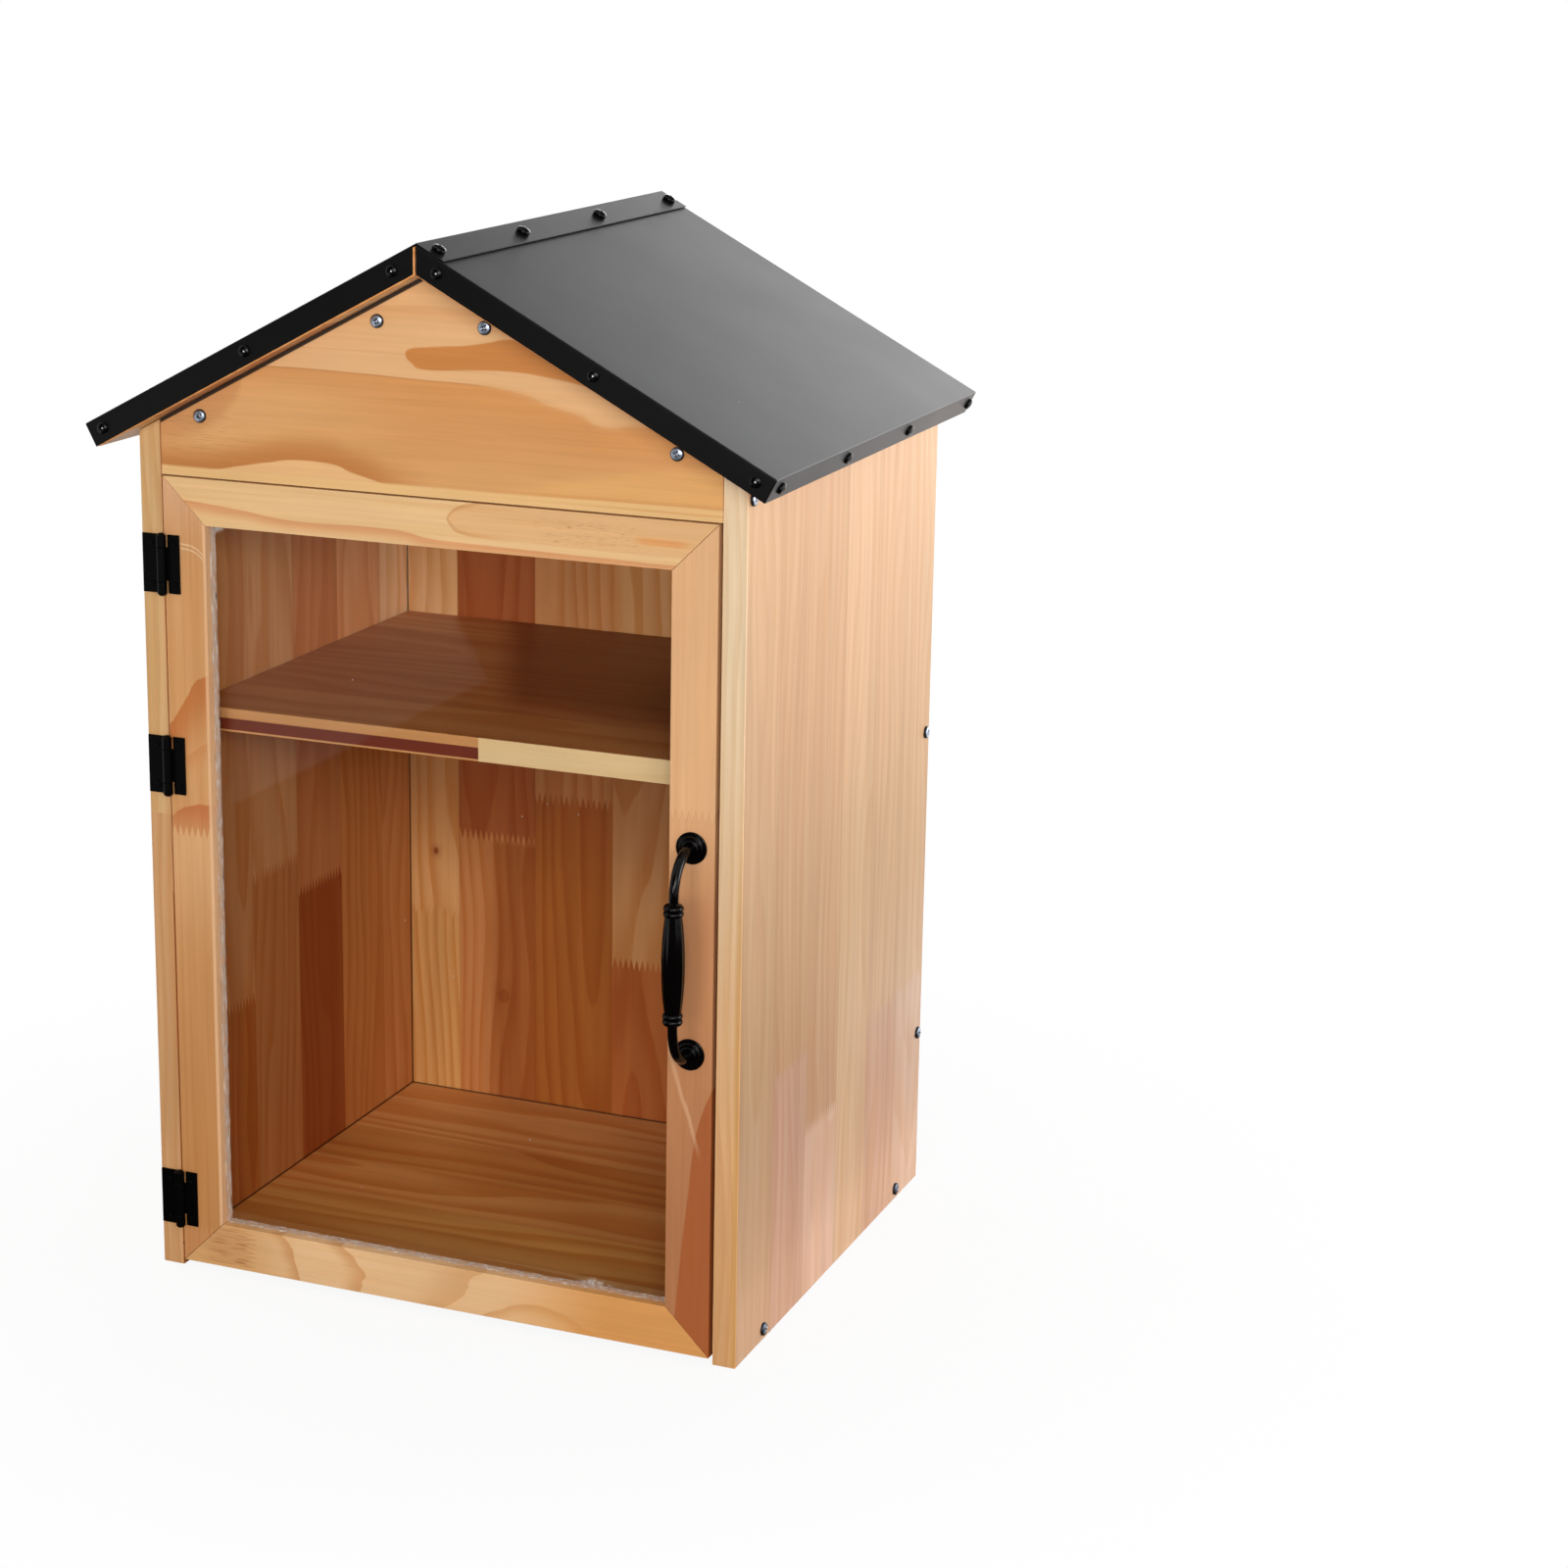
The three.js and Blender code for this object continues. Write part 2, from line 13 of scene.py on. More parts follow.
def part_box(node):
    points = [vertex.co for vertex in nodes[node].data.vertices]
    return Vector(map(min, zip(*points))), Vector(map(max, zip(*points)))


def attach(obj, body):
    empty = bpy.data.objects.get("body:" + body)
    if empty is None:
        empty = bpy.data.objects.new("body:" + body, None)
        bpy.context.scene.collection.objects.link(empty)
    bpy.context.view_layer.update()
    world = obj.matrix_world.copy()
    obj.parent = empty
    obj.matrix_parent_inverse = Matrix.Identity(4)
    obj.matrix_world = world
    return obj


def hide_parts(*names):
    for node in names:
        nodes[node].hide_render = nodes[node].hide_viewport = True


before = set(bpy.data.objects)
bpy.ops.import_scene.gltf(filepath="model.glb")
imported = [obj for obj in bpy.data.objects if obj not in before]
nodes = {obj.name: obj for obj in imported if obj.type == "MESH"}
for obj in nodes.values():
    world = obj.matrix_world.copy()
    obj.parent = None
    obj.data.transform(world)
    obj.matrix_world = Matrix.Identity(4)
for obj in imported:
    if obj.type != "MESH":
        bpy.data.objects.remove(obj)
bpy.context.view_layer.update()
MM = 0.001
UP = Vector((0, 0, 1))
TO_FRONT = Vector((0, -1, 0))
TO_REAR = Vector((0, 1, 0))
TO_RIGHT = Vector((1, 0, 0))
SIDES = (("left", -1), ("right", 1))
LEVELS = ("upper", "middle", "lower")


def span(*names):
    """The lowest and highest corner of some nodes together, in millimetres."""
    corners = [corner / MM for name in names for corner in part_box(name)]
    return (Vector([min(c[k] for c in corners) for k in range(3)]),
            Vector([max(c[k] for c in corners) for k in range(3)]))


def middle_of(name):
    low, high = span(name)
    return (low + high) / 2


# Places, all read off the fixed frame
carcass_low, carcass_high = span("left_side_panel", "right_side_panel")
front, rear = carcass_low.y, carcass_high.y
body_half = carcass_high.x
panel_inner = span("right_side_panel")[0].x
door_low, door_high = span("hinge_stile", "handle_stile", "top_rail", "bottom_rail")
opening_left = span("hinge_stile")[1].x
opening_right = span("handle_stile")[0].x
opening_bottom = span("bottom_rail")[1].z
opening_top = span("top_rail")[0].z
pane_low, pane_high = span("clear_pane")
shelf_low, shelf_high = span("shelf_board")
floor_top = span("bottom_panel")[1].z
back_face = span("back_panel")[0].y
gable_bottom = span("front_gable")[0].z
board_front = span("left_roof_board")[0].y
roof_low, roof_high = span("left_roof_skin", "right_roof_skin")

# Sizes that the frame's boxes don't give
ROOF_PITCH = math.radians(28)
SEAT = 0.3
BOARD = 15.0
SHEET_TOP = 16.1
FLANGE_TOP = 17.2
slope_sine, slope_cosine, slope_rise = math.sin(ROOF_PITCH), math.cos(ROOF_PITCH), math.tan(ROOF_PITCH)
wall_top = span("right_side_panel")[1].z - (body_half - panel_inner) * slope_rise
apex = wall_top + SEAT / slope_cosine + body_half * slope_rise
eave_run = (roof_high.x - SHEET_TOP * slope_sine) / slope_cosine


# Shader arithmetic
def colour(red, green, blue):
    """A paint colour as the shaders want it, from the 0 to 255 values of a screen."""
    shares = [value / 255 for value in (red, green, blue)]
    return tuple(s / 12.92 if s <= 0.04045 else ((s + 0.055) / 1.055) ** 2.4 for s in shares) + (1.0,)


def plug(tree, socket, value):
    """Feeds a socket: a link where the value is another socket, or else the plain value. Three
    numbers for a colour are those of a screen."""
    if isinstance(value, Value):
        tree.links.new(value.socket, socket)
    elif isinstance(value, bpy.types.NodeSocket):
        tree.links.new(value, socket)
    elif socket.type == "RGBA" and len(value) == 3:
        socket.default_value = colour(*value)
    else:
        socket.default_value = value


def ramp_stops(ramp, stops):
    """Sets a ramp's stops, each a place and a colour or a grey; the last item names the steps."""
    ramp.interpolation = stops[-1]
    while len(ramp.elements) > 1:
        ramp.elements.remove(ramp.elements[-1])
    for number, (place, tone) in enumerate(stops[:-1]):
        element = ramp.elements[0] if number == 0 else ramp.elements.new(place)
        element.position = place
        element.color = colour(*tone) if isinstance(tone, tuple) else (tone, tone, tone, 1.0)


def curve_points(mapping, points):
    """Lays a curve through points whose places and values run from 0 to 1."""
    curve = mapping.curves[0]
    for number, (place, value) in enumerate(points):
        if number < 2:
            curve.points[number].location = (place, value)
        else:
            curve.points.new(place, value)
    mapping.update()


class Value:
    """A socket whose number changes over a surface. Operators on it add Math nodes."""

    def __init__(self, wiring, socket):
        self.wiring = wiring
        self.socket = socket

    def maths(self, operation, *operands):
        return self.wiring.node("ShaderNodeMath", {"operation": operation}, dict(enumerate(operands)))

    def __add__(self, other):
        return self.maths("ADD", self, other)

    def __radd__(self, other):
        return self.maths("ADD", other, self)

    def __sub__(self, other):
        return self.maths("SUBTRACT", self, other)

    def __rsub__(self, other):
        return self.maths("SUBTRACT", other, self)

    def __mul__(self, other):
        return self.maths("MULTIPLY", self, other)

    def __rmul__(self, other):
        return self.maths("MULTIPLY", other, self)

    def __truediv__(self, other):
        return self.maths("DIVIDE", self, other)

    def __rtruediv__(self, other):
        return self.maths("DIVIDE", other, self)

    def __gt__(self, other):
        return self.maths("GREATER_THAN", self, other)

    def __lt__(self, other):
        return self.maths("LESS_THAN", self, other)

    def __abs__(self):
        return self.maths("ABSOLUTE", self)

    def floor(self):
        return self.maths("FLOOR", self)

    def fraction(self):
        return self.maths("FRACT", self)

    def root(self):
        return self.maths("SQRT", self)

    def to_and_fro(self):
        """A wave of straight flanks, 0 to 1 and back for each whole number."""
        return self.maths("PINGPONG", self, 0.5) * 2.0

    def least(self, other):
        return self.maths("MINIMUM", self, other)

    def most(self, other):
        return self.maths("MAXIMUM", self, other)

    def rise(self, low, high):
        """0 below low, 1 above high and a smooth step between them."""
        return self.wiring.node("ShaderNodeMapRange", {"interpolation_type": "SMOOTHSTEP"}, {
            "Value": self, "From Min": low, "From Max": high})

    def fall(self, low, high):
        """1 below low, 0 above high and a smooth step between them."""
        return 1.0 - self.rise(low, high)

    def within(self, half, blur):
        """1 where the value is within half of zero, either way, and 0 from blur on."""
        return abs(self).fall(half, blur)


class Wiring:
    """The nodes of one tree."""

    def __init__(self, tree):
        self.tree = tree
        tree.nodes.clear()

    def add(self, kind, settings=None, sockets=None):
        """Adds a node: its settings first, then the values or links of its sockets."""
        made = self.tree.nodes.new(kind)
        for name, value in (settings or {}).items():
            if name == "stops":
                ramp_stops(made.color_ramp, value)
            elif name == "points":
                curve_points(made.mapping, value)
            else:
                setattr(made, name, value)
        for key, value in (sockets or {}).items():
            plug(self.tree, made.inputs[key], value)
        return made

    def node(self, kind, settings=None, sockets=None, output=0):
        """Adds a node and gives one of its outputs."""
        return Value(self, self.add(kind, settings, sockets).outputs[output])

    def blend(self, share, first, second):
        """Shaders blended by a share of the second."""
        return self.node("ShaderNodeMixShader", None, {0: share, 1: first, 2: second})

    def seen(self):
        """1 for what the camera sees itself, in a mirror or through the pane, and 0 for light."""
        path = self.add("ShaderNodeLightPath").outputs
        return Value(self, path["Is Camera Ray"]).most(path["Is Glossy Ray"]).most(
            path["Is Transmission Ray"])


WHITE = (1.0, 1.0, 1.0, 1.0)
# Share of a screw head's radius that its painted glint covers
PAINTED_GLINT_REACH = 0.19


class Finish(Wiring):
    """One material. Its x, y and z are the object's own coordinates in millimetres."""

    def __init__(self, name):
        self.material = bpy.data.materials.new(name)
        self.material.use_nodes = True
        super().__init__(self.material.node_tree)
        self.x, self.y, self.z = [axis / MM for axis in self.split(
            self.node("ShaderNodeTexCoord", output="Object"))]

    def split(self, vector):
        made = self.add("ShaderNodeSeparateXYZ", None, {0: vector})
        return [Value(self, socket) for socket in made.outputs]

    def vector(self, x, y, z):
        return self.node("ShaderNodeCombineXYZ", None, {0: x, 1: y, 2: z})

    def mix(self, share, first, second, blend="MIX"):
        """Colours blended by a share of the second."""
        return self.node("ShaderNodeMix", {"data_type": "RGBA", "blend_type": blend},
                         {0: share, 6: first, 7: second}, output=2)

    def stained(self, tone, *stains):
        """Colours laid over a tone one after another, each as (share, colour)."""
        for share, stain in stains:
            tone = self.mix(share, tone, stain)
        return tone

    def brighten(self, tone, factor):
        """A colour scaled by a number."""
        return self.node("ShaderNodeVectorMath", {"operation": "SCALE"}, {0: tone, 3: factor})

    def noise(self, size, place=None, detail=2.0, roughness=0.5, shift=0.0):
        """Soft random values, 0 to 1, whose patches are about size across in millimetres.
        Three sizes stretch them along X, Y and Z."""
        sizes = size if isinstance(size, (tuple, list)) else (size,) * 3
        x, y, z = place or (self.x, self.y, self.z)
        where = self.vector(x / sizes[0] + shift, y / sizes[1], z / sizes[2])
        return self.node("ShaderNodeTexNoise", {"noise_dimensions": "3D"}, {
            "Vector": where, "Scale": 1.0, "Detail": detail, "Roughness": roughness})

    def specks(self, spacing, size, share):
        """Small round dots, some of them left out, about spacing apart in millimetres."""
        where = self.vector(self.x / spacing, self.y / spacing, self.z / spacing)
        cell = self.add("ShaderNodeTexVoronoi", None, {"Vector": where, "Scale": 1.0}).outputs
        chance, scale, _ = self.split(cell["Color"])
        distance = Value(self, cell["Distance"]) * spacing
        return distance.fall(size * 0.5 * scale, size * (0.6 + scale)) * (chance < share)

    def stored(self, name):
        """A number that the mesh stores at its vertices."""
        return self.node("ShaderNodeAttribute", {"attribute_name": name}, output="Fac")

    def painted_glint_centre(self):
        """Where a glint is painted: 1 at the middle of a screw head, by the share of its radius that
        unit_head stores.
        """
        share = self.stored("rim")
        return share.fall(PAINTED_GLINT_REACH * 0.7, PAINTED_GLINT_REACH) * (share > 0.001)

    def bump(self, height, depth, strength=1.0):
        """A normal from a height of 0 to 1 that stands for depth millimetres."""
        return self.node("ShaderNodeBump", None, {
            "Height": height, "Distance": depth * MM, "Strength": strength})

    def surface(self, **sockets):
        """The main shader, by its sockets' names with spaces as underscores."""
        return self.node("ShaderNodeBsdfPrincipled", None, {
            name.replace("_", " "): value for name, value in sockets.items()})

    def shine(self, tone, strength=1.0):
        """Light of its own."""
        return self.node("ShaderNodeEmission", None, {"Color": tone, "Strength": strength})

    def finish(self, shader):
        self.add("ShaderNodeOutputMaterial", None, {"Surface": shader})
        return self.material


# Pine
CREAM = (238, 203, 160)
STRAW = (230, 188, 134)
HONEY = (220, 170, 112)
AMBER = (209, 148, 86)
PINKISH = (218, 174, 140)
ROSE = (206, 152, 112)
RUSSET = (184, 116, 68)
UMBER = (150, 84, 46)
SEAM_SHADE = (58, 30, 16)
LATE_WOOD = (0.86, 0.70, 0.50, 1.0)
RED_SHADE = (0.84, 0.72, 0.62, 1.0)
SEED_STRIDE = 7.3
STAVE = 60.0
FAR_JOINT = 600.0
COMB_PITCH = 4.2
COMB_LENGTH = 8.5
GLUE_LINE = 0.5
SEAM_REACH = 1.1
FACE_REACH = 0.6
INNER_REACH = 0.8
HEART_SPREAD = 110.0
HEART_DEPTH = 14.0
HEART_DEPTH_SPREAD = 46.0
SWAY = 34.0
RIPPLE = 2.2
TAPER = 0.09


class Pine(Finish):
    """Varnished pine on one board. Along, across and deep are the grain's own directions."""

    def __init__(self, name, along, across, deep, seed):
        super().__init__(name)
        axes = {"x": self.x, "y": self.y, "z": self.z}
        self.along, self.across, self.deep = axes[along], axes[across], axes[deep]
        self.seed = seed
        self.joints = 0.0

    def grain_noise(self, length, width, detail=2.0, shift=0.0):
        """Noise whose patches are stretched along the grain."""
        return self.noise((length, width, width), (self.along, self.across, self.deep),
                          detail, shift=self.seed * SEED_STRIDE + shift)

    def wander(self, wave, reach):
        """A wave or noise of 0 to 1 as a swing about zero, over reach in all."""
        return (wave - 0.5) * reach

    def on_face(self, depth, reach=FACE_REACH):
        """1 on the face of the board at this depth."""
        return (self.deep - depth).within(reach / 2, reach)

    def lay_up(self, start, width, staves):
        """Staves glued edge to edge, each finger-jointed at one height: (height, tone before it,
        tone beyond it). Gives the tone, the place across each stave and its chance numbers."""
        count = len(staves)
        number = ((self.across - start) / width).floor().most(0.0).least(count - 1.0)
        pick = (number + 0.5) / count
        columns = list(zip(*staves))
        columns[0] = [(height + FAR_JOINT) / (2 * FAR_JOINT) for height in columns[0]]
        heights, before, beyond = [
            self.node("ShaderNodeValToRGB", {"stops": [
                (k / count, tone) for k, tone in enumerate(column)] + ["CONSTANT"]}, {0: pick})
            for column in columns]
        joint = (self.split(heights)[0] * 2.0 - 1.0) * FAR_JOINT
        comb = self.wander((self.across / COMB_PITCH).to_and_fro(), COMB_LENGTH)
        past_joint = self.along - joint - comb
        second = past_joint > 0.0
        tone = self.mix(second, before, beyond)
        chance = self.node("ShaderNodeTexWhiteNoise", {"noise_dimensions": "3D"}, {
            "Vector": self.vector(number, second, self.seed)}, output="Color")
        local = self.across - start - (number + 0.5) * width
        edge = (width / 2 - abs(local)).rise(0.0, GLUE_LINE)
        teeth = abs(past_joint).rise(0.0, GLUE_LINE)
        self.joints = 1.0 - edge.least(teeth * 0.6 + 0.4)
        return tone, local, self.split(chance)

    def rings(self, local, chance, spacing, deep_middle):
        """Late wood of the year rings, 0 to 1, cut through a log whose heart is beside the board."""
        side = local - (chance[0] - 0.5) * HEART_SPREAD
        drop = self.deep - deep_middle + (chance[1] * HEART_DEPTH_SPREAD + HEART_DEPTH)
        sway = self.wander(self.grain_noise(240, 46, 1.0), SWAY)
        ripple = self.wander(self.grain_noise(110, 12, 2.0, 3.1), RIPPLE)
        taper = self.along * (chance[2] - 0.5) * TAPER
        radius = (side * side + drop * drop).root() + sway + ripple + taper
        year = (radius / spacing).fraction()
        return year.rise(0.25, 0.9) * year.fall(0.93, 1.0)

    def knot(self, tone, along, across, size):
        """A small brown knot with a darker ring round it."""
        reach_along = (self.along - along) / (size * 1.25)
        reach_across = (self.across - across) / size
        wobble = self.wander(self.grain_noise(size * 2.4, size * 1.4, 2.0, 5.0), 0.7)
        distance = (reach_along * reach_along + reach_across * reach_across).root() + wobble
        return self.stained(tone, (distance.fall(0.8, 2.6) * 0.45, RUSSET),
                            (distance.fall(0.55, 1.0) * 0.95, UMBER))

    def run(self, over, points):
        """A smooth line drawn through given points: at each place along one direction, a place along
        another.
        """
        places, values = zip(*points)
        first, last = min(places), max(places)
        low, high = min(values) - 1.0, max(values) + 1.0
        scaled = [((p - first) / (last - first), (v - low) / (high - low)) for p, v in points]
        share = (over - first) / (last - first)
        drawn = self.node("ShaderNodeFloatCurve", {"points": scaled},
                          {"Value": share.most(0.0).least(1.0), "Factor": 1.0})
        return drawn * (high - low) + low

    def beyond(self, place, line, fade, crisp=0.8):
        """1 just past a line, falling to 0 over the fade; the fade's sign says which side."""
        distance = (place - line) * math.copysign(1.0, fade)
        return distance.rise(-crisp / 2, crisp / 2) * distance.fall(crisp, abs(fade))

    def between(self, place, low, high, crisp=0.8):
        """1 between two places or lines."""
        half = crisp / 2
        return (place - low).rise(-half, half) * (high - place).rise(-half, half)

    def shut(self, tone, inner, seams):
        """Darkens the tone on the inner face where other boards shut against it, at (axis, place)."""
        facing = self.on_face(inner) * 0.8
        return self.stained(tone, *[
            ((getattr(self, axis) - place).within(SEAM_REACH * 0.4, SEAM_REACH) * facing, SEAM_SHADE)
            for axis, place in seams])

    def varnish(self, tone, late, strength, streaks=None):
        """Rings, fibres and mottling over a tone, under a satin varnish. streaks gives long
        soft stripes: their length, their width and how far they darken and redden."""
        fibre = self.grain_noise(46, 0.75, 3.0, 1.7)
        streak = self.grain_noise(170, 3.4, 2.0, 4.4)
        mottle = self.grain_noise(120, 26, 2.0, 2.2)
        flecks = self.grain_noise(9.0, 0.45, 1.0, 9.0).rise(0.70, 0.76)
        late_tone = self.mix(1.0, tone, LATE_WOOD, "MULTIPLY")
        tone = self.mix(late * (0.35 + streak * 1.3) * strength, tone, late_tone)
        if streaks:
            length, width, amount = streaks
            stripe = self.grain_noise(length, width, 2.0, 12.0).rise(0.38, 0.64)
            tone = self.mix(stripe * amount, tone, self.mix(1.0, tone, RED_SHADE, "MULTIPLY"))
        light = 1.0 + (fibre - 0.5) * 0.14 + (streak - 0.5) * 0.16 + (mottle - 0.5) * 0.20
        light = light - flecks * 0.07 - self.joints * 0.20
        return self.finish(self.surface(
            Base_Color=self.brighten(tone, light),
            Roughness=0.46 + (fibre - 0.5) * 0.16,
            Specular_IOR_Level=0.35,
            Normal=self.bump(fibre * 0.7 + late * 0.3, 0.09, 0.55),
        ))


def tones(seed, choices, count, low=0.0, high=500.0):
    """Staves with tones and joint heights by chance, for boards with no seen pattern."""
    dice = random.Random(seed)
    return [(dice.uniform(low, high), dice.choice(choices), dice.choice(choices))
            for _ in range(count)]


def wall_pine(name, across, deep, faces, seed, along="z", middle=0.0, spacing=5.0,
              streaks=(420, 8, 0.5), inner=0.0, seams=(), touch=None):
    """A glued board. faces gives, for one or two sides, (start, stave width, staves, strength,
    the deep coordinate that this face lies at or None, knots). seams gives the places, as (axis,
    place), where another board shuts against the inner face and shade gathers there, and touch
    alters the tone."""
    pine = Pine(name, along, across, deep, seed)
    tone = None
    for start, width, staves, strength, depth, knots in faces:
        own, local, chance = pine.lay_up(start, width, staves)
        rings = pine.rings(local, chance, spacing, middle) * strength
        for knot in knots:
            own = pine.knot(own, *knot)
        if tone is None:
            tone, late, joints = own, rings, pine.joints
        else:
            near = pine.on_face(depth, INNER_REACH)
            tone = pine.mix(near, tone, own)
            late = late * (1.0 - near) + rings * near
            joints = joints * (1.0 - near) + pine.joints * near
    pine.joints = joints
    if touch:
        tone = touch(pine, tone)
    return pine.varnish(pine.shut(tone, inner, seams), late, 1.0, streaks)


def right_panel_pine():
    outer = [
        (-400, STRAW, (222, 181, 139)),
        (166, (226, 178, 150), (220, 173, 130)),
        (112, (250, 208, 180), (222, 176, 135)),
        (-400, STRAW, (244, 204, 162)),
        (150, (234, 188, 158), (239, 196, 155)),
        (150, (250, 212, 184), (246, 206, 166)),
    ]
    inner = tones(5, (AMBER, ROSE, HONEY, RUSSET), 6, 60, 420)

    def touch(pine, tone):
        # Painted shade: the board's tone scaled by height, darkest at 250 mm and lighter towards the
        # floor and the top, as the side is lit
        light = pine.run(pine.z, [(0, 0.96), (30, 0.92), (60, 0.82), (120, 0.73), (250, 0.65),
                                  (330, 0.71), (440, 0.79), (546, 0.87)])
        tone = pine.stained(tone, (pine.z.fall(20, 260) * 0.35, (232, 186, 160)),
                            (pine.z.rise(120, 260) * 0.55, (238, 184, 124)))
        gold_stripe = (pine.x - body_half + 3.4).rise(-0.8, 0.8) * pine.z.fall(200, 420)
        edge = pine.mix(pine.z.rise(60, 480), (240, 184, 127), (255, 226, 186))
        edge = pine.mix(gold_stripe * 0.5, edge, (232, 176, 96))
        return pine.mix((pine.y - front).fall(0.6, 1.4), pine.brighten(tone, light), edge)

    return wall_pine("pine right wall", "y", "x", [
        (front, 57.0, outer, 0.36, None, []),
        (front - 20, STAVE, inner, 0.8, panel_inner, []),
    ], 3, middle=(body_half + panel_inner) / 2, spacing=7.0, streaks=(900, 7.5, 0.38),
        touch=touch)


def left_panel_pine():
    outer = tones(8, (CREAM, STRAW, HONEY, PINKISH), 7, 80, 480)
    outer[0] = (300, (229, 175, 121), (236, 190, 132))
    inner = [
        (250, (176, 104, 50), (196, 138, 92)),
        (152, (182, 106, 46), (206, 144, 90)),
        (233, (196, 128, 74), (214, 156, 104)),
        (207, (166, 84, 36), (206, 134, 80)),
        (363, (208, 136, 74), (230, 164, 108)),
        (363, (218, 150, 90), (250, 208, 158)),
        (300, AMBER, AMBER),
    ]
    return wall_pine("pine left wall", "y", "x", [
        (front, 57.0, outer, 0.5, None, []),
        (-193.0, 61.0, inner, 0.8, -panel_inner, []),
    ], 12, middle=-(body_half + panel_inner) / 2, spacing=8.0, streaks=(420, 8, 0.35),
        inner=-panel_inner, seams=[("y", back_face), ("z", floor_top)])


def back_pine():
    inner = [
        (150, (226, 172, 106), (232, 178, 116)),
        (211, (212, 146, 88), (172, 96, 50)),
        (244, (176, 104, 40), (206, 146, 92)),
        (130, (188, 110, 54), (216, 162, 106)),
        (300, (206, 146, 92), (184, 120, 72)),
        (190, (196, 134, 82), (214, 160, 106)),
        (260, (184, 118, 70), (206, 150, 98)),
    ]
    outer = tones(21, (CREAM, STRAW, HONEY, PINKISH, ROSE), 7, 60, 560)
    first_stave = -205.5
    corner_stave_end = first_stave + STAVE

    def touch(pine, tone):
        """A dark band low on the second stave, a pale corner behind the shelf and painted shade
        at middle height, where the shelf casts its shadow."""
        facing = pine.on_face(back_face)
        band = pine.x.rise(-128, -112) * (pine.x - corner_stave_end - STAVE).fall(-0.4, 0.4)
        corner = (pine.x - corner_stave_end).fall(-0.4, 0.4)
        upper = pine.z.rise(265, 370)
        return pine.stained(
            tone,
            (band * facing * pine.z.fall(205, 212) * 0.75, (160, 84, 26)),
            (facing * upper * corner * 0.35, (250, 212, 164)),
            # Painted shade of the shelf: the inner face darker from 160 mm up, fading out again
            # towards the shelf
            (facing * pine.z.rise(160, 240) * (1.0 - upper) * 0.48, (140, 72, 26)))

    return wall_pine("pine back", "x", "y", [
        (first_stave, STAVE, outer, 0.6, None, []),
        (first_stave, STAVE, inner, 0.9, back_face, [(92.5, -110.6, 5.2), (195, -164, 2.6)]),
    ], 7, middle=back_face + BOARD / 2, spacing=9.0, streaks=(420, 8, 0.35),
        inner=back_face, seams=[("x", -panel_inner), ("x", panel_inner), ("z", floor_top)],
        touch=touch)


def floor_pine():
    upper = [
        (400, (246, 196, 128), AMBER),
        (-400, AMBER, (230, 170, 94)),
        (400, (234, 168, 98), AMBER),
        (-400, AMBER, (224, 156, 84)),
        (400, (238, 178, 110), AMBER),
        (400, (240, 184, 118), AMBER),
    ]
    return wall_pine("pine floor", "y", "z", [
        (front, 58.0, upper, 1.25, None, []),
    ], 15, along="x", middle=floor_top / 2, spacing=12.0, streaks=(420, 8, 0.25),
        inner=floor_top, seams=[("x", -panel_inner), ("x", panel_inner), ("y", back_face)])


def shelf_pine():
    """The shelf: two boards end to end along its front edge, the left one edged in dark wood, and
    a russet painted shadow towards the rear right of its top, where the handle stile and right wall
    cast it."""
    pine = Pine("pine shelf", "x", "y", "z", 17)
    top = [(400, tone, AMBER) for tone in (
        (194, 130, 76), (184, 118, 68), (184, 120, 70), (192, 130, 80), (202, 142, 92))]
    butt = 17.6
    tone, local, chance = pine.lay_up(shelf_low.y, 62.0, top)
    late = pine.rings(local, chance, 13.0, shelf_high.z)
    # Painted shadow of the handle stile and right wall: the rear right of the top darker, behind a
    # diagonal edge
    painted_shadow = (pine.x + pine.y * 0.46 + 33.0).rise(-16, 16) * pine.y.rise(-100, -30)
    thickness = (pine.z - shelf_low.z) / BOARD
    dark_stripe = thickness.rise(0.08, 0.11) * thickness.fall(0.57, 0.60)
    left_edge = pine.mix(dark_stripe, (222, 160, 100), (124, 48, 24))
    edge = (pine.y - shelf_low.y).fall(0.6, 1.4)
    tone = pine.stained(tone, (painted_shadow * 0.85, (124, 66, 30)),
                        (edge, pine.mix(pine.x > butt, left_edge, (250, 216, 162))))
    late = late * (1.0 - edge * 0.8)
    return pine.varnish(pine.shut(tone, shelf_high.z, [("x", shelf_low.x)]), late, 0.9)


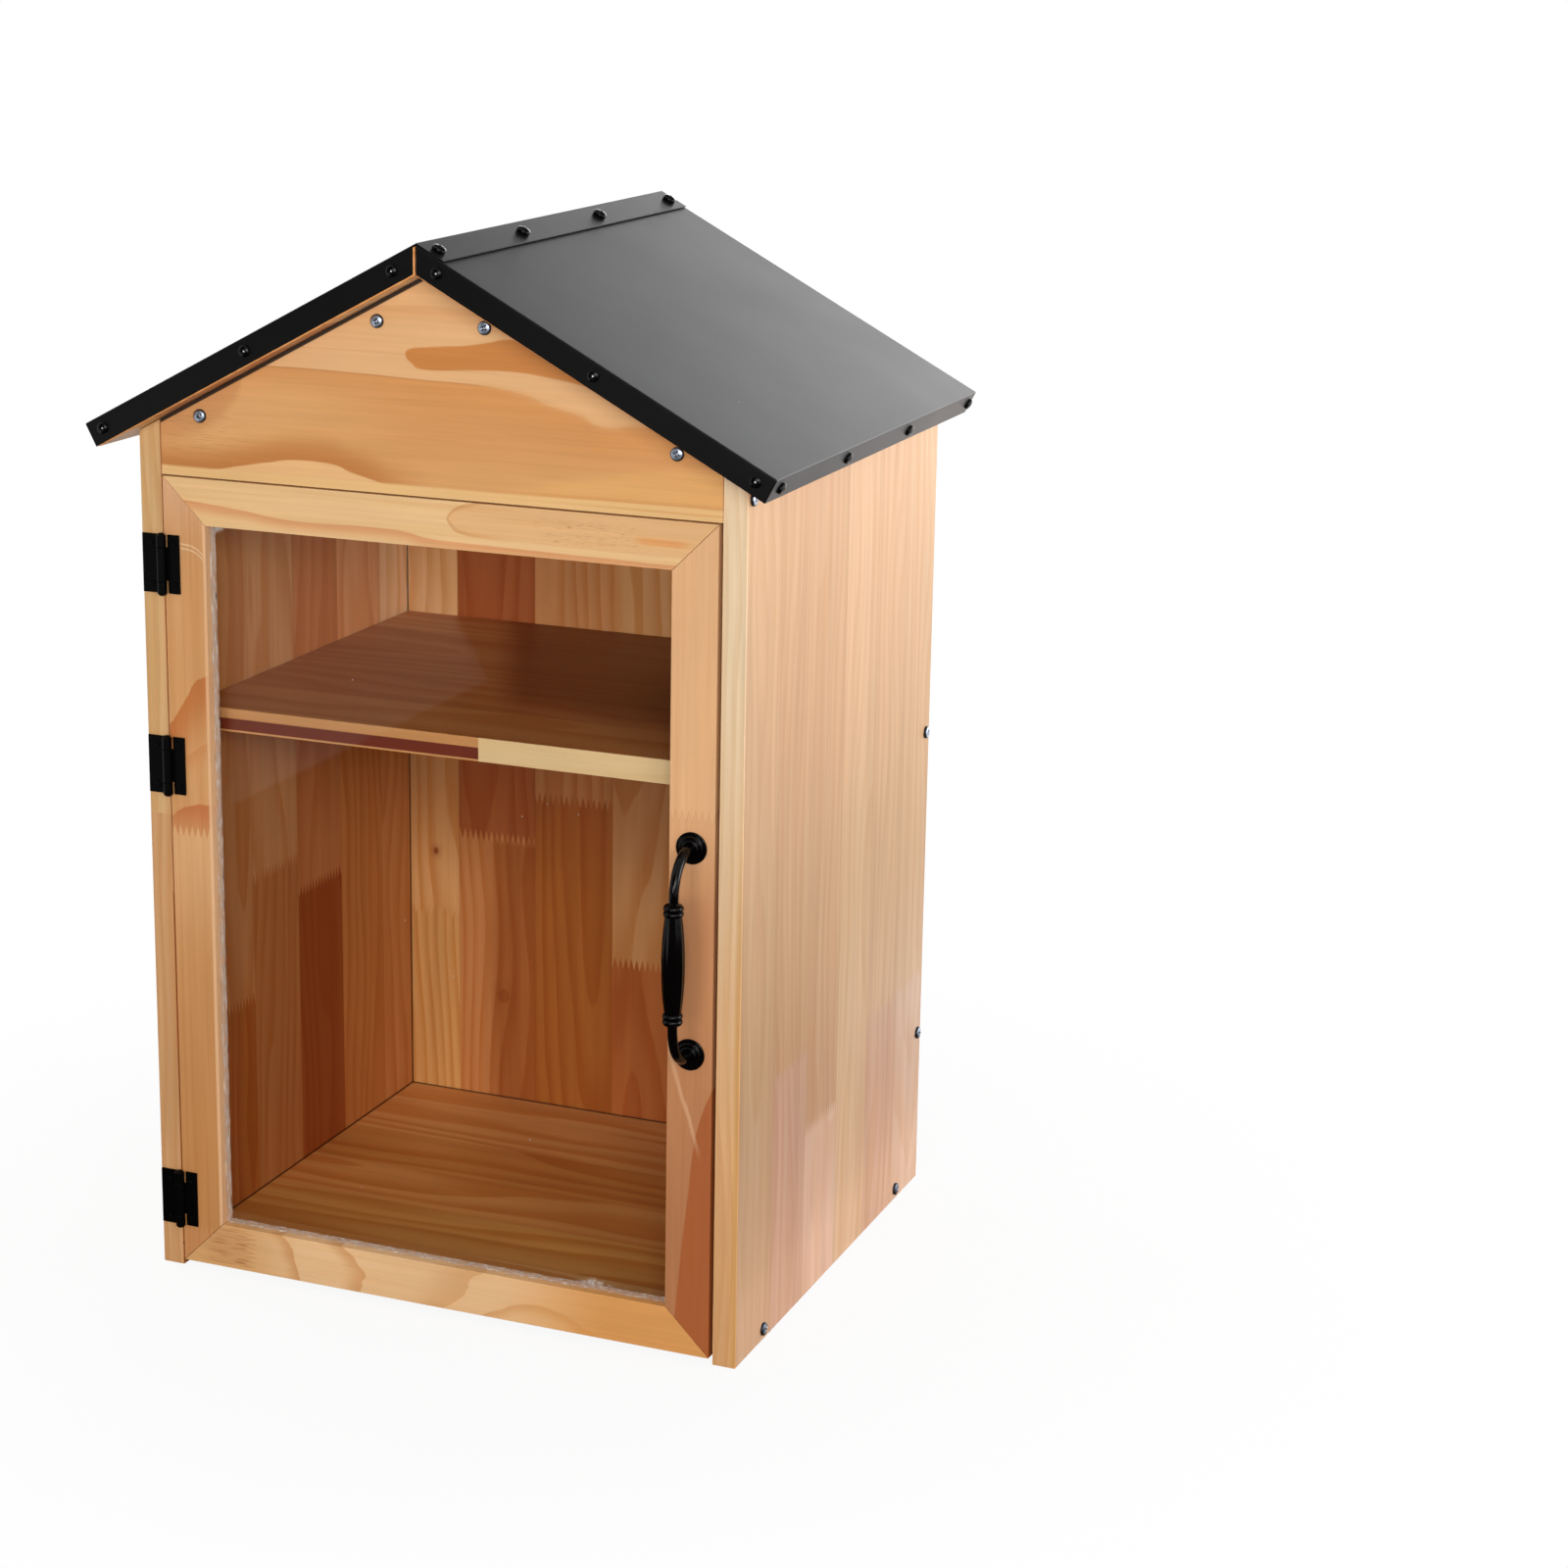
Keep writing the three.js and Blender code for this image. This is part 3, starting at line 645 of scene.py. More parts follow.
def gable_pine():
    """The front gable: bands of late wood that sweep across a flat-sawn board, with a narrow
    strip glued on at the top and a pale one along the bottom, and a painted shadow line along
    its top edges, under the roof boards. Places are in millimetres."""
    pine = Pine("pine gable", "x", "z", "y", 31)
    x = pine.x
    z = pine.z + pine.wander(pine.grain_noise(80, 14, 2.0, 6.0), 2.4)
    seam = pine.run(x, [(-190, 588), (-146, 589.5), (-91, 591.3), (-52, 590.6), (-7, 589.5),
                        (25, 589), (54, 586), (76, 580), (98, 574.3), (114, 569.5), (131, 571.5),
                        (155, 570.7), (190, 565)])
    upper = pine.run(x, [(-90, 626), (-38, 631), (7, 633.5), (38, 629.8), (76, 616), (113, 604)])
    patch_low = pine.run(x, [(-17, 604), (-13, 599), (-6, 596), (19, 597), (51, 598.2),
                             (76, 596), (100, 592), (125, 586)])
    patch_high = pine.run(x, [(-17, 604), (-12, 608), (0, 609.3), (25, 611.5), (38, 614),
                              (51, 616.4), (76, 612), (125, 594)])
    swoosh = pine.run(x, [(-190, 523.2), (-161, 524), (-130, 528.7), (-110, 532.7), (-87, 535.6),
                          (-72, 535.1), (-55, 531), (-38, 527.1), (-21, 523.5), (190, 518)])
    corner = pine.run(x, [(-190, 541), (-167, 545), (-149, 554), (-135, 567), (-127, 580),
                          (-124, 610), (190, 640)])
    right_fade = pine.run(x, [(-190, 500), (30, 520), (50, 526), (76, 533), (113, 541), (150, 546),
                              (190, 550)])
    strip = pine.run(x, [(-190, 526.5), (-130, 525.4), (-38, 526.2), (25, 526.4), (76, 526.8),
                         (131, 527), (190, 527)])
    blur = x.rise(20, 60) * 4.0 + 0.8
    seam_line = pine.between(z, seam - 0.6, seam + 0.2, 0.5) * x.fall(10, 50)
    lower_line = pine.between(pine.z, gable_bottom + 3.0, gable_bottom + 3.9, 0.6)
    scratches = pine.grain_noise(16, 0.5, 1.0, 11.0).rise(0.62, 0.68) * (
        x.fall(-160, -100) * pine.between(z, 530.0, 560.0, 8.0))
    under_roof = pine.z - apex + abs(x) * slope_rise
    tone = pine.stained(
        pine.mix(pine.noise((90, 40, 30), detail=1.0), (224, 176, 124), (219, 168, 114)),
        ((seam - z).rise(0.0 - blur, blur), (211, 149, 88)),
        (pine.beyond(z, seam, -30, 1.2) * x.rise(-120, 20) * 0.4, (207, 138, 72)),
        (x.fall(-130, 10) * pine.between(z, swoosh + 12.0, 580.0, 24.0) * 0.6, (222, 170, 114)),
        (z.fall(528, 560) * x.rise(-60, 0) * 0.5, (220, 164, 106)),
        (pine.beyond(z, upper, -15, 1.6) * 0.55, (208, 152, 98)),
        (pine.between(z, patch_low, patch_high, 1.4), (199, 128, 63)),
        (pine.beyond(z, corner, 44, 12.0) * x.fall(-132, -116) * 0.6, (196, 134, 80)),
        ((z - right_fade).fall(-4.0, 5.0) * x.rise(30, 60) * 0.8, (223, 166, 99)),
        (pine.beyond(z, swoosh, 20, 1.0) * x.fall(-50, 10) * 0.95, (190, 122, 62)),
        ((z - swoosh).fall(-0.7, 0.7) * x.fall(-26, -18), (228, 178, 122)),
        ((z - strip).fall(-1.0, 1.0), (228, 183, 123)),
        (pine.beyond(z, strip, 3, 0.8) * x.rise(20, 90) * 0.5, (206, 142, 78)),
        (lower_line * x.rise(60, 150) * 0.6, (214, 152, 86)),
        (seam_line * 0.45, (170, 104, 56)),
        (scratches * 0.6, (172, 110, 62)),
        # Painted shadow: a near-black line along the top edges, under the roof boards
        (under_roof.rise(-3.3, -2.5) * 0.96, (18, 10, 7)))
    return pine.varnish(tone, pine.grain_noise(150, 3.0, 1.0, 8.0).rise(0.5, 0.75), 0.14)


def top_rail_pine():
    """The top rail: pale, with a darker stave let in from the middle to the right."""
    pine = Pine("pine top rail", "x", "z", "y", 33)
    x = pine.x
    z = pine.z + pine.wander(pine.grain_noise(50, 8, 2.0, 6.0), 2.0)
    nose_low = pine.run(x, [(9, 508), (12, 504), (18, 500), (30, 498.5), (60, 498), (190, 497)])
    nose_high = pine.run(x, [(9, 508), (11, 512), (16, 516), (25, 519), (40, 522), (190, 523)])
    lower = pine.run(x, [(-190, 506), (-130, 502.3), (-93, 498.6), (-27, 498.9), (-1, 495.2),
                         (60, 494), (100, 493.4), (190, 493)])
    inside = pine.between(z, nose_low, nose_high, 1.2)
    rim = inside - pine.between(z, nose_low + 2.2, nose_high - 2.2, 2.4)
    spot = pine.between(z, 503.2, 507.2, 1.4) * x.rise(126, 138) * x.fall(156, 170)
    dashes = pine.grain_noise(7.0, 0.55, 1.0, 11.0).rise(0.60, 0.66) * (
        x.rise(60, 80) * x.fall(128, 140) * pine.between(z, 499.0, 514.0, 5.0))
    tone = pine.stained(
        pine.mix(pine.grain_noise(120, 9, 1.0), (230, 190, 140), (224, 180, 122)),
        (inside, (222, 174, 120)),
        (rim * x.fall(20, 60) * 0.7, (204, 146, 88)),
        (pine.beyond(z, lower, -9, 0.8), (214, 152, 100)),
        (spot * 0.85, (220, 152, 88)),
        (dashes * 0.5, (176, 122, 70)))
    return pine.varnish(tone, pine.grain_noise(150, 2.2, 1.0, 8.0).rise(0.5, 0.72), 0.28)


def bottom_rail_pine():
    """The bottom rail: pale with crescents of late wood and the teeth of a joint at the left."""
    pine = Pine("pine bottom rail", "x", "z", "y", 35)
    x = pine.x + pine.wander(pine.noise((18, 9, 9)), 7.0)
    z = pine.z
    first = pine.run(z, [(3, -98), (12, -101), (20, -104), (28, -107), (33, -113)])
    second = pine.run(z, [(3, -56), (10, -55), (16, -52), (22, -56), (28, -62), (36, -76)])
    third = pine.run(z, [(3, 2), (10, 12), (16, 18), (20, 19), (26, 22), (34, 34)])
    arch = pine.run(x, [(20, 0), (42, 10), (55, 15.5), (70, 17.5), (84, 15), (98, 9), (118, 0)])
    teeth = (z / 3.1 + 0.2).to_and_fro() * 9.0 - 140.0
    comb = pine.between(z, 6.0, 31.0, 1.0) * (pine.x - teeth).fall(-0.6, 0.6)
    comb = comb * pine.x.rise(-176, -156)
    cuts = pine.grain_noise(16, 0.7, 1.0, 13.0).rise(0.56, 0.64) * comb
    tone = pine.stained(
        pine.mix(pine.grain_noise(90, 10, 1.0), (236, 194, 148), (228, 178, 122)),
        (pine.beyond(x, first, -13, 0.8) * 0.75, (204, 142, 86)),
        (pine.beyond(x, second, -17, 0.8) * 0.8, (208, 148, 92)),
        (pine.beyond(x, third, -38, 0.9) * 0.55, (206, 146, 86)),
        (pine.beyond(z, arch, -9, 0.9) * 0.6, (208, 146, 84)),
        (x.rise(30, 120) * 0.85, (215, 146, 72)),
        (x.fall(-150, -90) * 0.7, (206, 150, 88)),
        (comb * 0.6, (204, 148, 96)),
        (cuts * 0.75, (170, 108, 58)))
    return pine.varnish(tone, pine.grain_noise(150, 2.4, 1.0, 8.0).rise(0.55, 0.75), 0.2)


def hinge_stile_pine():
    """The hinge stile: an amber tongue under the top hinge and a russet cap with its comb."""
    pine = Pine("pine hinge stile", "z", "x", "y", 37)
    x = pine.x
    z = pine.z + pine.wander(pine.noise((9, 9, 26)), 5.0)
    tongue_top = pine.run(x, [(-187, 358), (-180, 368), (-172, 380), (-166, 390), (-157, 396),
                              (-153, 398)])
    second_line = pine.run(x, [(-187, 338), (-176, 341), (-166, 347), (-157, 353), (-153, 355)])
    cap_top = pine.run(x, [(-187, 300), (-183, 304), (-177, 309), (-170, 311.5), (-160, 313),
                           (-153, 313)])
    teeth = (x / COMB_PITCH).to_and_fro() * 7.5 + 290.5
    cap = (pine.z - teeth).rise(-0.5, 0.5) * (cap_top - z).rise(-0.6, 0.6)
    below = (teeth - pine.z).rise(-0.5, 0.5) * pine.z.rise(200, 285)
    low_teeth = (x / 3.6).to_and_fro() * 6.0 + 24.0
    lens = pine.run(x, [(-176, 478), (-172, 477.5), (-165, 476.5), (-157, 471)])
    loop = (abs(pine.z - lens + 1.4) - 1.4).within(0.25, 0.6)
    tone = pine.stained(
        pine.mix(pine.grain_noise(130, 7, 1.0), (211, 158, 106), (201, 142, 84)),
        (z.rise(470, 515) * 0.7, (218, 168, 130)),
        (z.fall(60, 330) * 0.6, (186, 121, 62)),
        (pine.beyond(z, tongue_top, -52, 1.2) * 0.9, (187, 108, 51)),
        (pine.beyond(z, second_line, -16, 1.0) * 0.5, (196, 124, 70)),
        (cap * (0.35 + z.rise(292, 312) * 0.6), (190, 110, 62)),
        (below * 0.55, (222, 172, 122)),
        ((low_teeth - pine.z).rise(-0.5, 0.5) * 0.6, (204, 140, 88)),
        (x.rise(opening_left - 2.6, opening_left - 1.6) * 0.7, (234, 188, 144)),
        (loop * x.rise(-175, -172) * x.fall(-158, -156) * 0.6, (242, 214, 180)))
    return pine.varnish(tone, pine.grain_noise(210, 1.9, 1.0, 8.0).rise(0.5, 0.7), 0.34)


def handle_stile_pine():
    """The handle stile: plain and pale above a comb, rosier below, with a russet foot."""
    pine = Pine("pine handle stile", "z", "x", "y", 39)
    z = pine.z
    x = pine.x + pine.wander(pine.grain_noise(60, 9, 2.0, 6.0), 2.4)
    teeth = (pine.x / COMB_PITCH).to_and_fro() * 7.5 + 340.5
    rosier = pine.stained(pine.mix(z.rise(60, 280), (176, 116, 74), (195, 134, 89)),
                          (z.rise(270, 345) * 0.8, (220, 168, 120)))
    foot = pine.run(z, [(0, 158), (36, 160.5), (90, 165.5), (138, 171), (160, 176), (178, 183),
                        (200, 190)])
    pale_line = pine.run(z, [(0, 190), (120, 178), (150, 170), (187, 158), (220, 152)])
    tone = pine.stained(
        pine.mix(pine.grain_noise(160, 10, 1.0), (223, 175, 127), (217, 164, 115)),
        ((teeth - z).rise(-0.5, 0.5), rosier),
        ((teeth - z).within(0.3, 0.8) * 0.3, (176, 112, 66)),
        ((x - foot).rise(-0.4, 0.8) * 0.85, (166, 86, 38)),
        ((x - pale_line).within(0.4, 2.2) * z.rise(128, 150) * 0.45, (224, 176, 136)))
    return pine.varnish(tone, pine.grain_noise(210, 2.2, 1.0, 8.0).rise(0.5, 0.72), 0.2)


def roof_board_pine(name, seed):
    def touch(pine, tone):
        return pine.mix((pine.y - board_front).fall(0.6, 2.0), tone, (238, 168, 100))

    return wall_pine(name, "x", "z", [
        (-240.0, STAVE, tones(seed, (CREAM, STRAW, HONEY, ROSE), 8, -150, 150), 0.6, None, []),
    ], seed, along="y", middle=600.0, spacing=6.0, touch=touch)


def batten_pine():
    return wall_pine("pine batten", "x", "z", [
        (-240.0, 240.0, [(400, STRAW, STRAW), (400, HONEY, HONEY)], 0.7, None, []),
    ], 45, along="y", middle=560.0, spacing=4.5)


# Metal, plastic and the pane
def powder_coat():
    """Satin charcoal powder on the folded roof sheet, with a fine orange-peel skin and dust."""
    coat = Finish("powder coat")
    peel = coat.noise(1.1, detail=1.0)
    cloud = coat.noise(60)
    dust = coat.specks(34.0, 0.55, 0.30)
    return coat.finish(coat.surface(
        Base_Color=coat.mix(dust, coat.mix(cloud, (5, 5, 5), (8, 7, 7)), (190, 190, 190)),
        Roughness=0.34 + (cloud - 0.5) * 0.06 + (peel - 0.5) * 0.05,
        Specular_IOR_Level=0.22,
        Normal=coat.bump(peel, 0.03, 0.35),
    ))


def gloss_black(name, roughness, tone, shine, painted_glint=0.0):
    """Black enamel with a slight ripple and worn-in dust. For screws, the last argument paints a
    highlight: how far it whitens the middle of the head."""
    enamel = Finish(name)
    ripple = enamel.noise(2.6)
    grime = enamel.noise(0.9, detail=3.0)
    paint = enamel.mix(grime, tone, tuple(value + 4 for value in tone))
    if painted_glint:
        # Painted glint: a white dot at the middle of a screw head
        paint = enamel.mix(enamel.painted_glint_centre() * painted_glint, paint, (236, 238, 242))
    return enamel.finish(enamel.surface(
        Base_Color=paint,
        Roughness=roughness + (grime - 0.5) * 0.10,
        Specular_IOR_Level=shine,
        Normal=enamel.bump(ripple, 0.05, 0.25),
    ))


def zinc_plate():
    """Bright zinc with a bluish passivation and the fine marks of a tumbling drum, with painted
    shade round the rim and in the cross of a screw and a painted glint at its middle."""
    zinc = Finish("zinc plate")
    cloud = zinc.noise(2.2)
    marks = zinc.noise((0.35, 0.35, 2.4))
    # Painted shade: dark round the rim of a screw head and in its cross recess
    shade = zinc.stored("rim").rise(0.78, 0.90) + zinc.stored("sunk").rise(0.1, 0.5)
    tone = zinc.stained(
        zinc.mix(cloud, (188, 198, 212), (150, 161, 180)),
        (shade.least(1.0) * 0.92, (14, 17, 26)),
        # Painted glint: a white dot at the middle of the head
        (zinc.painted_glint_centre() * 0.9, (240, 244, 250)))
    return zinc.finish(zinc.surface(
        Base_Color=tone, Metallic=0.92, Roughness=0.24 + marks * 0.20,
        Normal=zinc.bump(marks, 0.02, 0.3),
    ))


def moulded(name, tone, roughness):
    """Moulded plastic or sintered ferrite with a fine spark-eroded grain."""
    plastic = Finish(name)
    grain = plastic.noise(0.7)
    cloud = plastic.noise(9.0, detail=1.0)
    return plastic.finish(plastic.surface(
        Base_Color=plastic.mix(cloud, tone, tuple(value * 0.82 for value in tone)),
        Roughness=roughness + (grain - 0.5) * 0.12,
        Normal=plastic.bump(grain, 0.04, 0.4),
    ))


def acrylic():
    """The clear pane: nearly nothing but a faint reflection and dust specks, a smear of glue on
    its bottom edge and a rest of film in both upper corners."""
    pane = Finish("acrylic")
    gloss = pane.node("ShaderNodeBsdfGlossy", None, {"Color": WHITE, "Roughness": 0.02})
    clear = pane.node("ShaderNodeBsdfTransparent", None, {0: (0.97, 0.965, 0.955, 1.0)})
    sheet = pane.blend(pane.node("ShaderNodeFresnel", None, {"IOR": 1.17}), clear, gloss)
    dust = pane.specks(17.0, 0.34, 0.42).most(pane.specks(6.5, 0.16, 0.22))
    ragged = pane.noise((5, 5, 1.4), detail=4.0, roughness=0.7)
    up, down = pane.z - (opening_bottom + 0.4), opening_top - pane.z
    rough = ragged - 0.5
    smear = (abs(pane.x - 101.0) / 20.0 + up / 6.0 + rough * 3.0).fall(0.4, 0.9) * (
        ragged.rise(0.46, 0.62) * 0.7)
    film_left = ((pane.x - opening_left) / 14.0 + down / 8.0 + rough * 0.8).fall(0.35, 1.0) * 0.65
    film_right = ((opening_right - pane.x) / 14.0 + down / 5.0 + rough * 2.0).fall(0.4, 0.9) * (
        ragged.rise(0.5, 0.65) * 0.5)
    cover = dust.most(smear).most(film_left).most(film_right).least(1.0).most(0.0)
    white = pane.surface(Base_Color=(226, 222, 218), Roughness=0.5)
    return pane.finish(pane.blend(cover, sheet, white))


def sealant_skin():
    """Whitish silicone, half clear, with streaks where it was drawn along the joint."""
    bead = Finish("sealant")
    streak = bead.noise((3.5, 1.0, 9.0), detail=3.0)
    clear = bead.node("ShaderNodeBsdfTransparent", None, {0: (0.95, 0.93, 0.9, 1.0)})
    body = bead.surface(
        Base_Color=bead.mix(streak, (226, 208, 190), (250, 244, 236)),
        Roughness=0.32 + streak * 0.2, Normal=bead.bump(streak, 0.2, 0.5))
    return bead.finish(bead.blend(0.12 + streak.rise(0.40, 0.75) * 0.5, clear, body))


# Mesh making
FEW_FACES = 900
MERGE = 0.02
FLAT = math.radians(0.6)
CORNER = math.radians(24)
EDGE = 0.55
ON_AXIS = 1e-6
PLANED_CREASE = 35
FOLDED_CREASE = 40
TURNED_CREASE = 50
DRAWN_CREASE = 60


def into_scene(name, data):
    made = bpy.data.objects.new(name, data)
    bpy.context.scene.collection.objects.link(made)
    return made


def mesh_of(name, shape):
    """A mesh made of a bmesh, which is freed."""
    mesh = bpy.data.meshes.new(name)
    shape.to_mesh(mesh)
    shape.free()
    return mesh


def smooth_fan(vertex, face):
    """The faces round a vertex that are reached from one of them without crossing a sharp edge."""
    fan, waiting = [face], [face]
    while waiting:
        for edge in waiting.pop().edges:
            if edge.smooth and vertex in edge.verts:
                fresh = [other for other in edge.link_faces if other not in fan]
                fan += fresh
                waiting += fresh
    return fan


def keep_flats(mesh):
    """Weighs the corner normals by face area, so that flat faces shade flat up to their rounds."""
    shape = bmesh.new()
    shape.from_mesh(mesh)
    normals = []
    for face in shape.faces:
        for vertex in face.verts:
            total = Vector()
            for near in smooth_fan(vertex, face):
                total += near.normal * near.calc_area()
            normals.append(total.normalized())
    shape.free()
    mesh.normals_split_custom_set(normals)


def adopt(name, mesh, look, body, stands_for=(), angle=PLANED_CREASE):
    """Makes a mesh in metres a finished piece that rides on a body. look is (finish, slot);
    the slot is not used.
    """
    finish, slot = look
    mesh.materials.clear()
    mesh.materials.append(finish)
    mesh.shade_smooth()
    mesh.set_sharp_from_angle(angle=math.radians(angle))
    if len(mesh.polygons) < FEW_FACES:
        keep_flats(mesh)
    piece = into_scene(name, mesh)
    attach(piece, body)
    if stands_for:
        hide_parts(*stands_for)
    return piece


def keep(name, shape, look, body, stands_for=(), angle=PLANED_CREASE):
    """Makes a bmesh in metres a finished piece."""
    return adopt(name, mesh_of(name, shape), look, body, stands_for, angle)


def solid_of(node):
    """A node's own solid as a bmesh, with its loose triangles merged into flat faces."""
    shape = bmesh.new()
    shape.from_mesh(nodes[node].data)
    bmesh.ops.remove_doubles(shape, verts=shape.verts, dist=MERGE * MM)
    bmesh.ops.dissolve_limit(shape, angle_limit=FLAT, verts=shape.verts, edges=shape.edges)
    return shape


def rounded(shape, edges, radius, segments):
    bmesh.ops.bevel(shape, geom=edges, offset=radius * MM, offset_type="OFFSET", profile=0.5,
                    segments=segments, affect="EDGES", clamp_overlap=True)
    return shape


def ease(shape, radius, segments=2):
    """Breaks every sharp edge with a small round."""
    return rounded(shape, [edge for edge in shape.edges if len(edge.link_faces) == 2
                           and edge.calc_face_angle(0) > CORNER], radius, segments)


def worked(word, node, look, body, radius, segments):
    """A node's own solid with eased edges, in place of the node."""
    return keep(f"{word}_{node}", ease(solid_of(node), radius, segments), look, body, [node])


def outward(shape):
    bmesh.ops.recalc_face_normals(shape, faces=shape.faces)
    return shape


def skinned(shape, rings):
    """Faces from each ring of vertices to the next. A ring can be a single vertex."""
    for low, high in zip(rings, rings[1:]):
        sides = max(len(low), len(high))
        for k in range(sides):
            n = (k + 1) % sides
            corners = list(dict.fromkeys([low[k % len(low)], low[n % len(low)],
                                          high[n % len(high)], high[k % len(high)]]))
            if len(corners) > 2:
                shape.faces.new(corners)
    return shape


def capped(shape, rings):
    """A solid through rings of vertices, with a face at either end."""
    skinned(shape, rings)
    shape.faces.new(list(reversed(rings[0])))
    shape.faces.new(rings[-1])
    return shape


def merged(shape, other):
    """Adds one bmesh to another and frees it."""
    mesh = mesh_of("part", other)
    shape.from_mesh(mesh)
    bpy.data.meshes.remove(mesh)
    return shape


def place_on(centre, facing=UP):
    """The matrix that carries a shape built on +Z to a place in millimetres, facing outwards."""
    spin = Vector(facing).to_track_quat("Z", "Y").to_matrix().to_4x4()
    return Matrix.Translation(Vector(centre) * MM) @ spin


def turned(shape, profile, sides, matrix, ripple=None):
    """A profile of (radius, height) in millimetres, spun round +Z. It starts and ends on the
    axis, or at a bore that another piece fills, and ripple scales the radius by angle and
    height."""
    rings = []
    for radius, height in profile:
        if radius < ON_AXIS:
            rings.append([shape.verts.new(matrix @ Vector((0, 0, height * MM)))])
            continue
        ring = []
        for k in range(sides):
            angle = 2 * math.pi * k / sides
            own = radius * (ripple(angle, height) if ripple else 1.0)
            ring.append(shape.verts.new(matrix @ Vector(
                (own * math.cos(angle) * MM, own * math.sin(angle) * MM, height * MM))))
        rings.append(ring)
    return skinned(shape, rings)


def spun(profile, sides, matrix):
    """A piece of its own, spun from a profile."""
    return outward(turned(bmesh.new(), profile, sides, matrix))


def swept(shape, path, radii, sides):
    """A round bar along a path in millimetres, with a radius for each of its points."""
    rings = []
    across = TO_RIGHT
    for k, (point, radius) in enumerate(zip(path, radii)):
        ahead = path[min(k + 1, len(path) - 1)] - path[max(k - 1, 0)]
        over = ahead.cross(across).normalized()
        angles = [2 * math.pi * n / sides for n in range(sides)]
        rings.append([shape.verts.new(
            (point + radius * (across * math.cos(a) + over * math.sin(a))) * MM) for a in angles])
    return capped(shape, rings)


def arc(centre, radius, first, last, steps):
    """Points of a round stretch, angles in degrees."""
    return [(centre[0] + radius * math.cos(math.radians(a)),
             centre[1] + radius * math.sin(math.radians(a)))
            for a in [first + (last - first) * k / steps for k in range(steps + 1)]]


def loft(first, last):
    """A solid between two outlines of as many points each, in millimetres."""
    shape = bmesh.new()
    return outward(capped(shape, [[shape.verts.new(Vector(p) * MM) for p in outline]
                                  for outline in (first, last)]))


def prism(outline, y0, y1):
    """An outline in X and Z, carried along Y."""
    return loft([(x, y0, z) for x, z in outline], [(x, y1, z) for x, z in outline])


def block(low, high):
    outline = [(low[0], low[2]), (high[0], low[2]), (high[0], high[2]), (low[0], high[2])]
    return prism(outline, low[1], high[1])


# Places on the roof: run goes down a slope from the ridge, lift up from the boards' underside
def above(x, lift):
    """The height over a place, x from the middle plane."""
    return apex + lift / slope_cosine - abs(x) * slope_rise


def down_slope(side, run, lift):
    """The x and z of a place on the left slope, side -1, or on the right one, side 1."""
    return (side * (run * slope_cosine + lift * slope_sine),
            apex - run * slope_sine + lift * slope_cosine)


def slope_normal(side):
    return Vector((side * slope_sine, 0, slope_cosine))


def down_eave(side):
    return Vector((side * slope_cosine, 0, -slope_sine))


# Carcass boards
BATTEN = 20.0
BATTEN_EDGE = 1.2
ROOF_BOARD_EDGE = 0.8
GABLE_EDGE = 0.3
RIDGE_GAP = 0.15
EAVE_GAP = 1.1


def board(node, shape, finish, body="carcass", radius=EDGE):
    """A planed board with eased edges, in place of its node."""
    return keep(f"planed_{node}", ease(shape, radius), (finish, "pine"), body, [node])


def panel_outline(side):
    outer, inner = side * body_half, side * panel_inner
    return [(inner, 0), (outer, 0), (outer, above(outer, -SEAT)), (inner, above(inner, -SEAT))]


def gable_outline(bottom):
    edge = panel_inner - SEAT
    shoulder = above(edge, -SEAT)
    return [(-edge, bottom), (edge, bottom), (edge, shoulder), (0, above(0, -SEAT)),
            (-edge, shoulder)]


board("left_side_panel", prism(panel_outline(-1), front, rear), left_panel_pine())
board("right_side_panel", prism(panel_outline(1), front, rear), right_panel_pine())
board("back_panel", prism(gable_outline(0), back_face, rear), back_pine())
board("front_gable", prism(gable_outline(gable_bottom), front, front + BOARD), gable_pine(),
      radius=GABLE_EDGE)
board("bottom_panel", block(*span("bottom_panel")), floor_pine())
board("shelf_board", block(shelf_low, shelf_high), shelf_pine(), "shelf")

board_run = eave_run - EAVE_GAP
for (word, side), seed in zip(SIDES, (41, 43)):
    outline = [(side * RIDGE_GAP, above(RIDGE_GAP, 0)), down_slope(side, board_run, 0),
               down_slope(side, board_run, BOARD), (side * RIDGE_GAP, above(RIDGE_GAP, BOARD))]
    board(f"{word}_roof_board", prism(outline, board_front, rear),
          roof_board_pine(f"pine {word} roof", seed), radius=ROOF_BOARD_EDGE)

batten_finish = batten_pine()
batten_middles = []
for word, side in SIDES:
    for level in ("upper", "lower"):
        name = f"{word}_{level}_batten"
        low, high = span(name)
        middle = (abs((low.x + high.x) / 2) - (-SEAT - BATTEN / 2) * slope_sine) / slope_cosine
        batten_middles.append((side, middle))
        outline = [down_slope(side, middle + a * BATTEN / 2, -SEAT - b * BATTEN)
                   for a, b in ((-1, 0), (1, 0), (1, 1), (-1, 1))]
        board(name, prism(outline, low.y, high.y), batten_finish, radius=BATTEN_EDGE)

# Door frame: an L-shaped section, mitred at 45 degrees
REBATE_DEPTH = 11.0
REBATE_WIDTH = 9.5
FRAME_EDGE = 0.35
MITRE = 0.15 * math.sqrt(2)
member_width = opening_left - door_low.x
rebate_from = member_width - REBATE_WIDTH
door_back = door_high.y
SECTION = [(0, front), (member_width, front), (member_width, front + REBATE_DEPTH),
           (rebate_from, front + REBATE_DEPTH), (rebate_from, door_back), (0, door_back)]
door_middle_x, door_half_x = (door_low.x + door_high.x) / 2, (door_high.x - door_low.x) / 2
door_middle_z, door_half_z = (door_low.z + door_high.z) / 2, (door_high.z - door_low.z) / 2


